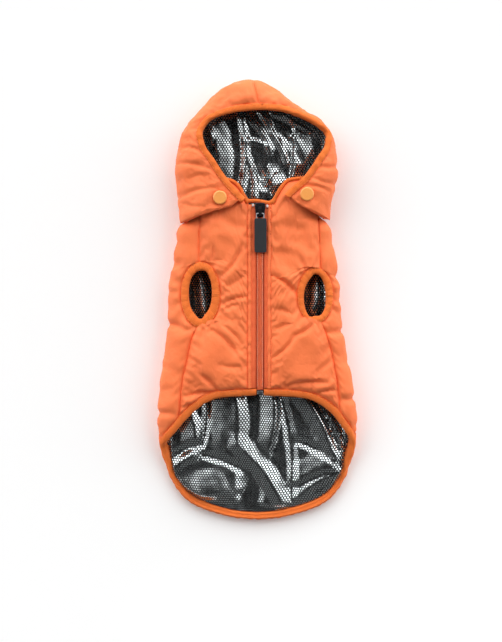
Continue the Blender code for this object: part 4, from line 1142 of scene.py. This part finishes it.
# %% Lining folds
BACK_FOLDS = (
    # crest from x, y, to x, y, width on its left hand, width on its right hand, height (a valley is negative)
    (-22, -76, -18, -130, 9, 25, 6.4),
    (-46, -84, -53, -142, 3.5, 4, -3.2),
    (-60, -100, -55, -134, 6, 14, 4.2),
    (-76, -142, -52, -130, 5, 5, -3.4),
    (-73, -151, -54, -140, 8, 4, 3),
    (-18, -130, 26, -192, 12, 8, 5.4),
    (-48, -140, -14, -153, 5, 4.5, -3.8),
    (-62, -181, -24, -173, 24, 6, 5.8),
    (-7, -158, -8, -190, 13, 13, -4.2),
    (14.5, -76, 12.5, -131, 4, 14, 4.8),
    (19, -78, 31, -178, 5, 6, -3),
    (35, -76, 71, -143, 5, 13, 5.6),
    (30, -125, 74, -148, 4.5, 4.5, -3.8),
    (36, -163, 69, -150, 17, 5, 4.6),
    (38, -177, 74, -156, 8, 5, 3.6),
    (58, -94, 79, -136, 5, 4, 3.2),
    (-40, -187, 20, -191, 4, 4, -2.6),
    (-52, 26, -46, -16, 4, 9, 3.6),
    (55, 24, 53, -12, 4, 10, 3.6),
)
HOOD_FOLDS = (
    (-41, 156, -37, 106, 15, 6, 5),
    (-13.5, 165, -14, 98, 4, 5, 2.6),
    (-9.5, 165, 14, 136, 3, 3, 3),
    (2, 170, 13.5, 151, 4, 3, 3.4),
    (13.5, 151, 27, 124, 3, 3.5, 3.4),
    (-12, 144, 8, 139, 4, 3, 1.6),
    (8, 141, 12, 132, 3, 3, 3),
    (-8, 130, -2.5, 94, 4, 3, 1.8),
    (12, 112, 16, 98, 13, 4, 4.4),
    (9, 104, 16, 117, 3, 3, 2.8),
    (15, 169, 46, 154, 6, 5, 4),
    (33, 146, 33, 112, 16, 4, 5.2),
    (50, 154, 61, 144, 4, 4, 3),
    (-44, 158, -42, 138, 3, 5, 2.6),
    (24, 150, 38, 128, 5, 5, -2.6),
    (-2, 122, 6, 102, 5, 4, -2.4),
)


def folds(points, table):
    """Heights of a table of folds.

    Each is a roof over its line, with its own width on each side, a soft crest
    and a soft foot, and it is lower at its ends.
    """
    height = np.zeros(points.shape[:-1])
    for *line, left_width, right_width, top in table:
        inside, off, past = along_line(points, *line)
        width = np.where(off > 0, left_width, right_width)
        # narrow folds stay low, so that the film never stands up steeply
        limit = 0.5 * min(left_width, right_width) + 0.2 * max(left_width, right_width)
        top = float(np.clip(top, -limit, limit))
        away = np.hypot(off, past) / width
        roof = np.clip(1.06 - np.sqrt(away ** 2 + 0.012), 0, 1)
        foot = roof / (roof + 0.12 * np.exp(-8 * roof)) * roof
        height = height + top * (0.55 + 0.45 * np.sin(pi * inside)) * foot
    return height


def lining_piece(name, points, normals, depth, table, seed, flat, rest):
    """A film of lining inside a shell: it lies at a depth, and its folds rise towards the inside.

    rest is its height over the wall between the folds. It comes down to the
    wall at its edges and stays flat on the upper side, above 17 mm.
    """
    seat = points - normals * depth
    nearest = np.minimum.reduce(edge_distances(seat))
    settle = np.clip(nearest / 6.0, 0, 1)
    below = np.clip((17.0 - seat[..., 2]) / 6.0, 0, 1)
    rumple = soft_noise(points * (1.0, 0.4, 1.0), 16.0, seed) + 0.35 * soft_noise(points, 9.0, seed + 1)
    lift = (rest + folds(points, table) * below + 0.25 * rumple) * settle
    lift = np.maximum(lift, 0.15 * settle)
    shaped = seat - normals * lift[..., None]
    outer, out_normals, floor = refine(shaped), refine(normals), refine(seat)
    out_normals /= np.linalg.norm(out_normals, axis=-1, keepdims=True)
    below_floor = np.minimum(((floor - outer) * out_normals).sum(axis=-1), 0.0)
    outer = outer + out_normals * below_floor[..., None]
    inner = outer - out_normals * (LINING * 0.8)
    rise = ((floor - outer) * out_normals).sum(axis=-1)
    uvs = np.stack([outer[..., 0] + 0.25 * rise, outer[..., 1] + 0.15 * rise], axis=-1)
    piece = cloth_wall(name, outer, inner, DOTTED, uvs)
    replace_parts(piece, name.replace("dotted_", ""))
    print(name, "triangles:", 2 * len(piece.data.polygons))


def past_the_neck(points, normals):
    """Carries the hood's lining on over the neck seam into the body, so that no edge shows in the opening.

    Only the middle 50 mm on each side go on, by up to 34 mm, while they come
    down to the back's lining in a smooth step and narrow a little.
    """
    end = points[:, -1:]
    joined = np.clip((50.0 - np.abs(end[..., 0])) / 6.0, 0, 1) * (end[..., 2] < 9.0)
    length = 0.05 + 34.0 * joined
    k = np.linspace(0, 1, 17)[None, 1:]
    level = np.clip(k * 1.5, 0, 1)
    level = level * level * (3 - 2 * level) * joined
    x = end[..., 0] * (1 - 0.14 * k * joined)
    y = end[..., 1] - length * k
    z = end[..., 2] + (1.8 - end[..., 2]) * level
    turn = (np.clip(k * 3, 0, 1) * joined)[..., None]
    blended = normals[:, -1:] * (1 - turn) + np.array((0.0, 0.0, -1.0)) * turn
    blended = blended / np.linalg.norm(blended, axis=-1, keepdims=True)
    return np.concatenate([points, np.stack([x, y, z], -1)], 1), np.concatenate([normals, blended], 1)


lining_cells = back_grid(BACK_COLUMNS)
lining_piece("dotted_back_lining", *body(lining_cells[..., 0], lining_cells[..., 1]), BODY_WALL + LINING_GAP,
             BACK_FOLDS, 81, (0.24, 0.24), 2.4)
hood_cells = hood_grid(TIP, LAST_RIB - TIP, 160, 44, 2.0)
lining_piece("dotted_hood_lining", *past_the_neck(*hood(hood_cells[..., 0], hood_cells[..., 1])),
             HOOD_WALL + LINING_GAP, HOOD_FOLDS, 97, (0.16, 0.12), 2.6)
print("linings done")

# %% [markdown]
# ## Bindings
#
# A binding is an elastic tape folded over the cloth's raw edge and sewn down on its inner side. Elastic
# pulls itself short, so it gathers in small ripples. A curve with a bevel could make the band, but its
# section would turn as it liked. Here the section is a rounded rectangle between two lines of the
# surface, the cloth's edge and the stitching line, so the band always lies flat on the cloth.

# %% Sections and stitches
STITCH = {"length": 2.3, "gap": 1.1, "radius": 0.28}
STITCH_AT = 0.84        # where the stitches lie, as a share of the band from its edge
BAND_STEP = 1.1


def resample(table, surface):
    """Rows for a path in surface coordinates at an even step, close to BAND_STEP."""
    run = run_lengths(surface(table[:, 0], table[:, 1])[0])
    even = np.linspace(0, run[-1], max(8, int(run[-1] / BAND_STEP)))
    return np.column_stack([np.interp(even, run, column) for column in table.T])


def stitch_row(name, surface, line, height, length, gap, radius, material, closed=False):
    """A row of thread stitches on a surface: each is a slim spindle that dips at both ends."""
    points, normals = surface(line[:, 0], line[:, 1])
    points = points + normals * height
    if closed:
        points, normals = np.concatenate([points, points[:1]]), np.concatenate([normals, normals[:1]])
    run = run_lengths(points)
    starts = np.arange(gap, run[-1] - length, length + gap)
    shares = np.array([0, 0.15, 0.5, 0.85, 1.0])
    girths = np.array([0.35, 0.85, 1.0, 0.85, 0.35]) * radius
    dips = np.array([-0.35, -0.08, 0.0, -0.08, -0.35])
    at = starts[:, None] + shares * length
    centre = np.stack([np.interp(at, run, points[:, i]) for i in range(3)], -1)
    up = np.stack([np.interp(at, run, normals[:, i]) for i in range(3)], -1)
    up /= np.linalg.norm(up, axis=-1, keepdims=True)
    centre = centre + up * dips[None, :, None]
    aside = np.cross(np.gradient(centre, axis=1), up)
    aside /= np.linalg.norm(aside, axis=-1, keepdims=True)
    angle = SPINDLE_ANGLES[:, None]
    ring = np.cos(angle) * aside[:, :, None, :] + np.sin(angle) * up[:, :, None, :]
    vertices = centre[:, :, None, :] + ring * girths[None, :, None, None]
    vertices[..., 2] = np.maximum(vertices[..., 2], 0.02)
    finished(name, vertices.reshape(-1, 3), spindle_faces(len(starts)), material)


def section(count):
    """(share across the band, height) of a rounded section, once round. Height 1 is the upper face."""
    angle = np.linspace(0, 2 * pi, count, endpoint=False)
    c, s = np.cos(angle), np.sin(angle)
    return 0.5 - 0.5 * np.sign(c) * np.abs(c) ** 0.75, np.sign(s) * np.abs(s) ** 0.8


def binding(name, surface, rows, thick, seed, gather, closed=False, stitched=True, tall=0.8, stands_for=""):
    """A band along rows of (edge a, edge b, inner a, inner b) in surface coordinates.

    Its height at each point is the section's, and a ripple of the run along
    the edge, which is larger towards the edge. thick is the wall that the band
    wraps and tall how far it stands proud of it.
    """
    share, up = section(18)
    edge, inner = rows[:, None, 0:2], rows[:, None, 2:4]
    place = edge + (inner - edge) * share[None, :, None]
    points, normals = surface(place[..., 0], place[..., 1])
    run = run_lengths(surface(rows[:, 0], rows[:, 1])[0])
    if closed:
        wave = run / run[-1] * round(run[-1] / 5.5)
        puckers = np.sin(2 * pi * wave) + 0.5 * np.sin(4 * pi * wave + 1.3)
    else:
        puckers = ripples(run, GATHER_PITCH, seed)
    puckers = puckers[:, None] * (0.4 + 0.6 * (1 - share))[None, :]
    half = thick / 2 + tall
    height = -thick / 2 + half * up[None, :] + gather * puckers * np.sign(up)[None, :]
    rings = points + normals * height[..., None]
    rings[..., 2] = np.maximum(rings[..., 2], 0.05)
    stations, sides = rings.shape[:2]
    round_length = np.arange(sides) / sides * 20.0
    uvs = np.stack(np.broadcast_arrays(run[:, None], round_length[None, :]), axis=-1)
    piece = finished(name, rings.reshape(-1, 3), tube_faces(stations, sides, closed), BINDING,
                     uvs.reshape(-1, 2))
    if stands_for is not None:
        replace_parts(piece, stands_for or name.replace("elastic_", ""))
    if stitched:
        line = edge[:, 0] + (inner[:, 0] - edge[:, 0]) * STITCH_AT
        seat = STITCH_AT * half - thick / 2 + 0.12
        stitch_row(name.replace("elastic", "stitches"), surface, line, seat, **STITCH, material=THREAD,
                   closed=closed)


print("stitch step:", STITCH["length"] + STITCH["gap"])

# %% [markdown]
# ### The five bound edges
#
# The hem's band starts at the zip, goes round the tail and comes back to the zip. The neck's band shows
# only in front. Each armhole has a closed loop, which its elastic pulls a little out of its ellipse. The
# hood's band runs from one flap's tip to the other and narrows at both tips.

# %% Bindings of the hem, the neck, the armholes and the hood
def hem_and_neck_rows(width, at_hem, half_gap):
    """Rows for a band that runs from the zip round the whole edge and back to the zip."""
    y = -82.0 if at_hem else 88.0     # just inside the edge, beside the zip
    first = float(locate(ZIP_X + half_gap, y)[0])
    last = float(locate(ZIP_X - half_gap, y)[0])
    last = last + 4 if last < 2 else last
    q = np.linspace(first, last, 700)
    edge_v = np.full_like(q, 1.0 if at_hem else 0.0)
    rows = np.column_stack([q, edge_v, q, inset(q, width, at_hem)])
    return resample(rows, body)


hem_rows = hem_and_neck_rows(HEM_BAND, True, COIL_WIDTH / 2 + GAP)
binding("elastic_hem_binding", body, hem_rows, BODY_WALL, 5, 0.22)
neck_rows = hem_and_neck_rows(NECK_BAND, False, GAP / 2)
neck_girth = np.minimum(neck_rows[:, 0], 4 - neck_rows[:, 0])
FRONT = 0.97      # the neck's binding shows up to here, just before the side line
for side, chosen in (("right", neck_rows[:, 0] < 2), ("left", neck_rows[:, 0] >= 2)):
    front = neck_rows[chosen & (neck_girth < FRONT)]
    binding(f"elastic_neck_binding_{side}", body, front, BODY_WALL, 6, 0.12, stitched=False, tall=0.3,
            stands_for="neck_binding" if side == "right" else None)
HOLE_SHAPES = {
    # how far the elastic pulls each hole's rim in or out of its ellipse, by the angle from its outer side
    "angle": (0, 30, 60, 90, 120, 150, 180, 210, 240, 270, 300, 330, 360),
    "left":  (0.97, 1.03, 1.08, 1.00, 1.01, 1.03, 1.00, 0.97, 0.93, 1.00, 0.90, 0.94, 0.97),
    "right": (1.00, 1.00, 1.01, 1.01, 0.90, 0.94, 1.00, 1.06, 1.10, 0.95, 1.03, 1.05, 1.00),
}
for side, hole in ARMHOLES.items():
    cx, cy = hole["centre"]
    angles = np.linspace(0, 2 * pi, 180, endpoint=False)
    rx, ry = hole["hole"]
    drawn = smooth(HOLE_SHAPES["angle"], HOLE_SHAPES[side], np.degrees(angles))
    rim_x, rim_y = cx + rx * drawn * np.cos(angles), cy + ry * drawn * np.sin(angles)
    rx, ry = hole["outer"]
    lines = [np.column_stack(locate(rim_x, rim_y)),
             np.column_stack(locate(cx + rx * np.cos(angles), cy + ry * np.sin(angles)))]
    binding(f"elastic_armhole_binding_{side}", body, np.column_stack(lines), BODY_WALL, 7, 0.22, closed=True)
t = np.linspace(0, LAST_RIB, 900)
band_width = np.minimum(HOOD_BAND, 5.2 + 6 * np.minimum(t, LAST_RIB - t))
hood_rows = resample(np.column_stack([t, np.zeros_like(t), t, band_width]), hood)
binding("elastic_hood_binding", hood, hood_rows, HOOD_WALL, 8, 0.3)
print("bindings done")

# %% [markdown]
# ## The zip
#
# A coil zip is two woven tapes, and on each one a bent nylon wire whose loops are the teeth. Two lines of
# sewing hold the wire, and each belly panel's edge is folded back and topstitched beside the tape.
# Everything runs straight down the belly, so a strip is one section carried along y, and a tooth is one
# small spindle that is repeated, with only a few dozen faces.

# %% Zip tapes and folded edges
def belly_strip(name, x_low, x_high, y_high, y_low, profile, material, slot_name, wave=0.15, seed=3):
    """A straight strip down the belly: a section of (share across, height) rows, which ripples a little."""
    y = np.linspace(y_high, y_low, 170)
    share, height = np.asarray(profile, float).T
    q, v = locate((x_low + (x_high - x_low) * share)[None, :], y[:, None])
    points, normals = body(q, v)
    lift = height[None, :] + wave * ripples(y, GATHER_PITCH, seed)[:, None] * (height > -1.5)[None, :]
    rings = points + normals * lift[..., None]
    return finished(name, rings.reshape(-1, 3), tube_faces(*rings.shape[:2]), material)


TAPE_PROFILE = ((0, -0.8), (0.04, -0.55), (0.35, -0.4), (0.65, -0.4), (0.96, -0.55), (1, -0.8), (1, -2.2),
                (0, -2.2))
FOLD_PROFILE = ((0, -0.7), (0.06, 0.15), (0.3, 0.65), (0.7, 0.65), (0.94, 0.15), (1, -0.7), (1, -1.6),
                (0, -1.6))
CORE_PROFILE = ((0, -0.9), (0.12, -0.2), (0.4, 0.1), (0.6, 0.1), (0.88, -0.2), (1, -0.9), (0.9, -2.2),
                (0.1, -2.2))
coil_low, coil_high = ZIP_X - COIL_WIDTH / 2, ZIP_X + COIL_WIDTH / 2
STRIPS = (
    # name, x from, x to, y from, y to, section, material, the solid that it stands for
    ("woven_tape_left", TAPE_LEFT, coil_low - 0.1, 85.8, -78.4, TAPE_PROFILE, TAPE, "zip_tape_left"),
    ("woven_tape_right", coil_high + 0.1, TAPE_RIGHT, 85.6, -78.4, TAPE_PROFILE, TAPE, "zip_tape_right"),
    ("coil_core", coil_low + 0.1, coil_high - 0.1, 86.4, -80.2, CORE_PROFILE, SHADED_COIL_CORE, "zip_coil"),
)
for *strip, node_name in STRIPS:
    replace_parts(belly_strip(*strip, "zip"), node_name)
belly_strip("placket_left", -8.6, -5.0, 85.8, -78.6, FOLD_PROFILE, SHELL, "shell", 0.28, 12)
belly_strip("placket_right", 9.2, 12.8, 85.6, -78.6, FOLD_PROFILE, SHELL, "shell", 0.28, 14)


print("zip strips done")

# %% [markdown]
# ### Teeth and sewing
#
# One tooth is a bar with five rings of six points, thick in its middle and low at its sewn end, and the
# two rows are half a pitch apart, as closed teeth are. The sewing is the same idea: every stitch is a
# slim spindle whose ends dip into the cloth.

# %% Coil teeth
TOOTH_PITCH = 1.3


def coil_teeth(hand):
    """One row of bent teeth: each is a short rounded bar that reaches from the middle to the sewn edge."""
    y = np.arange(-79.4, 86.0, TOOTH_PITCH) + (0 if hand < 0 else TOOTH_PITCH / 2)
    share = np.array([0, 0.12, 0.5, 0.85, 1.0])
    thick = np.array([0.26, 0.44, 0.44, 0.42, 0.26])
    lift = np.array([0.55, 0.72, 0.80, 0.55, 0.20])
    x = np.broadcast_to(ZIP_X + hand * (-0.3 + 2.7 * share), (len(y), SPINDLE_RINGS))
    ground = body_point(*locate(x, np.broadcast_to(y[:, None], x.shape)))[..., 2]
    ring_y = y[:, None, None] + thick[None, :, None] * np.cos(SPINDLE_ANGLES)
    ring_z = (ground + lift)[..., None] + thick[None, :, None] * np.sin(SPINDLE_ANGLES)
    vertices = np.stack([np.broadcast_to(x[..., None], ring_y.shape), ring_y, ring_z], -1).reshape(-1, 3)
    finished(f"coil_teeth_{'left' if hand < 0 else 'right'}", vertices, spindle_faces(len(y)), COIL)


for hand in (-1, 1):
    coil_teeth(hand)
print("coil teeth done, at a pitch of", TOOTH_PITCH)

# %% Sewing beside the zip
y_line = np.linspace(84.5, -78.0, 200)
STITCH_LINES = (
    # name, x, length, gap, height, thickness, thread
    ("coil_sewing_left", 0.35, 0.9, 0.75, 0.85, 0.30, PALE_THREAD),
    ("coil_sewing_right", 4.85, 0.9, 0.75, 0.85, 0.30, PALE_THREAD),
    ("tape_sewing_left", -1.2, 1.2, 0.6, -0.1, 0.22, DARK_THREAD),
    ("tape_sewing_right", 6.7, 1.2, 0.6, -0.1, 0.22, DARK_THREAD),
    ("topstitch_left_outer", -8.1, 1.7, 0.9, 0.40, 0.24, DARK_THREAD),
    ("topstitch_left_inner", -5.6, 1.7, 0.9, 0.40, 0.24, DARK_THREAD),
    ("topstitch_right_inner", 9.8, 1.7, 0.9, 0.40, 0.24, DARK_THREAD),
    ("topstitch_right_outer", 12.2, 1.7, 0.9, 0.40, 0.24, DARK_THREAD),
)
for name, x, length, gap, height, girth_of_thread, thread in STITCH_LINES:
    line = np.column_stack(locate(np.full_like(y_line, x), y_line))
    stitch_row(name, body, line, height, length, gap, girth_of_thread, thread)
print("zip done, with lines of sewing:", len(STITCH_LINES))

# %% [markdown]
# ## Hardware
#
# The black slider, its wire link and the rubber pull tab keep the shapes that the solids have, because
# hard parts need no folds, and so do the three stops. They only get their materials. The two snap caps
# are round, with a dished face and a soft rim. A lathe would turn them from a profile, and so does this:
# the profile's radius and height are carried round a vertical axis.

# %% Hardware
KEPT_SOLIDS = {
    "zip_slider": GLOSS_BLACK, "pull_link": METAL, "pull_tab": RUBBER,
    "zip_stop_top_left": STOP, "zip_stop_top_right": STOP, "zip_stop_bottom": METAL,
}
for node_name, material in KEPT_SOLIDS.items():
    node_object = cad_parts[node_name]
    node_object.data.materials.clear()
    node_object.data.materials.append(material)


def turned(name, profile, centre, material, segments=72):
    """A solid of revolution about a vertical axis, from (radius, height) rows with both ends on the axis."""
    profile = np.asarray(profile, float)
    angle = np.arange(segments) * 2 * pi / segments
    inside = profile[1:-1]
    ring = np.stack([inside[:, None, 0] * np.cos(angle), inside[:, None, 0] * np.sin(angle),
                     np.broadcast_to(inside[:, None, 1], (len(inside), segments))], -1)
    vertices = np.concatenate([ring.reshape(-1, 3), [[0, 0, profile[0, 1]], [0, 0, profile[-1, 1]]]]) + centre
    faces = grid_faces(len(inside), segments, closed_columns=True).tolist()
    top, bottom = len(vertices) - 2, len(vertices) - 1
    last_ring = (len(inside) - 1) * segments
    following = [(k + 1) % segments for k in range(segments)]
    faces += [[top, after, k] for k, after in enumerate(following)]
    faces += [[bottom, last_ring + k, last_ring + after] for k, after in enumerate(following)]
    return finished(name, vertices, faces, material)


CAP_PROFILE = ((0, 2.28), (1.2, 2.27), (2.6, 2.22), (3.8, 2.15), (4.5, 2.16), (4.9, 2.2), (5.3, 2.12),
               (5.75, 1.85), (6.1, 1.4), (6.25, 0.8), (6.1, 0.2), (5.6, 0.0), (0, 0.0))
for side, (x, y) in SNAP_PLACES.items():
    low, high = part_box(f"snap_cap_{side}")
    cap = turned(f"turned_snap_{side}", CAP_PROFILE, (x, y, low[2] / MM), SNAP)
    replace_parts(cap, f"snap_cap_{side}")
print("hardware done")

# %% [markdown]
# ## Floor, light and camera
#
# A plain pale floor, and light that shows relief without hard shadows. Two round soft lamps stand on
# opposite sides: the key beyond the hood on the left, and a weaker fill. The silver dots are mirrors, so
# what they show is the sky. It is dark overhead and bright lower down on the hood's side, which makes
# each fold flash on one slope and go black on the other. The camera looks straight down from high up, so
# the coat shows almost no perspective.

# %% Floor and lamps
def placed(name, data):
    """A new object in the scene."""
    obj = bpy.data.objects.new(name, data)
    bpy.context.scene.collection.objects.link(obj)
    return obj


FLOOR_HALF, FLOOR_DROP = 3.0, 0.0005
mesh = bpy.data.meshes.new("floor")
corners = [(x * FLOOR_HALF, y * FLOOR_HALF, -FLOOR_DROP) for x, y in ((-1, -1), (1, -1), (1, 1), (-1, 1))]
mesh.from_pydata(corners, [], [(0, 1, 2, 3)])
floor = placed("floor", mesh)
floor.data.materials.append(Shader("floor_paper").set(
    Base_Color=colour(0.97, 0.97, 0.97), Roughness=0.9, Specular_IOR_Level=0.1,
    Emission_Color=colour(1, 1, 1), Emission_Strength=0.05))


def area_light(name, place, size, power):
    """A round soft lamp that looks at the origin: turned about X by its slant and about Z by its heading."""
    data = bpy.data.lights.new(name, "AREA")
    data.shape = "DISK"
    data.size = size
    data.energy = power
    lamp = placed(name, data)
    lamp.location = place
    x, y, z = -np.array(place)
    lamp.rotation_euler = (np.arctan2(np.hypot(x, y), -z), 0, np.arctan2(x, -y))


area_light("key", (-1.32, 1.2, 1.36), 0.7, 102.0)
area_light("fill", (1.4, -0.8, 1.6), 1.2, 50.0)
print("lamps:", len(bpy.data.lights))

# %% Sky
sky = Shader("studio", sky=True)
direction = sky.node("ShaderNodeTexCoord").outputs["Generated"]
rise = sky.node("ShaderNodeSeparateXYZ", _0=direction).outputs["Z"]
dark_overhead = sky.span(rise, 0.76, 0.94, 2.6, 0.0)
hood_side = sky.span(sky.vector("DOT_PRODUCT", direction, (0.0, 1.0, 0.0))[1], -0.28, 0.32, 0.06, 1.0)
sky.set(Strength=sky.math("MULTIPLY", dark_overhead, hood_side), Color=colour(1, 1, 1))
bpy.context.scene.world = sky.material
bpy.context.scene.view_settings.view_transform = "Standard"
print("sky nodes:", len(sky.tree.nodes))

# %% Camera
LENS, SENSOR = 120.0, 36.0
VIEW_LENGTH = 0.5778        # metres seen along the longer side, at the coat's middle height
MIDDLE_HEIGHT = 0.015
camera_data = bpy.data.cameras.new("camera")
camera_data.lens = LENS
camera_data.sensor_width = SENSOR
camera = placed("camera", camera_data)
camera.location = (-0.0054, -0.0185, VIEW_LENGTH * LENS / SENSOR + MIDDLE_HEIGHT)
bpy.context.scene.camera = camera
print("camera height:", round(camera.location.z, 3))
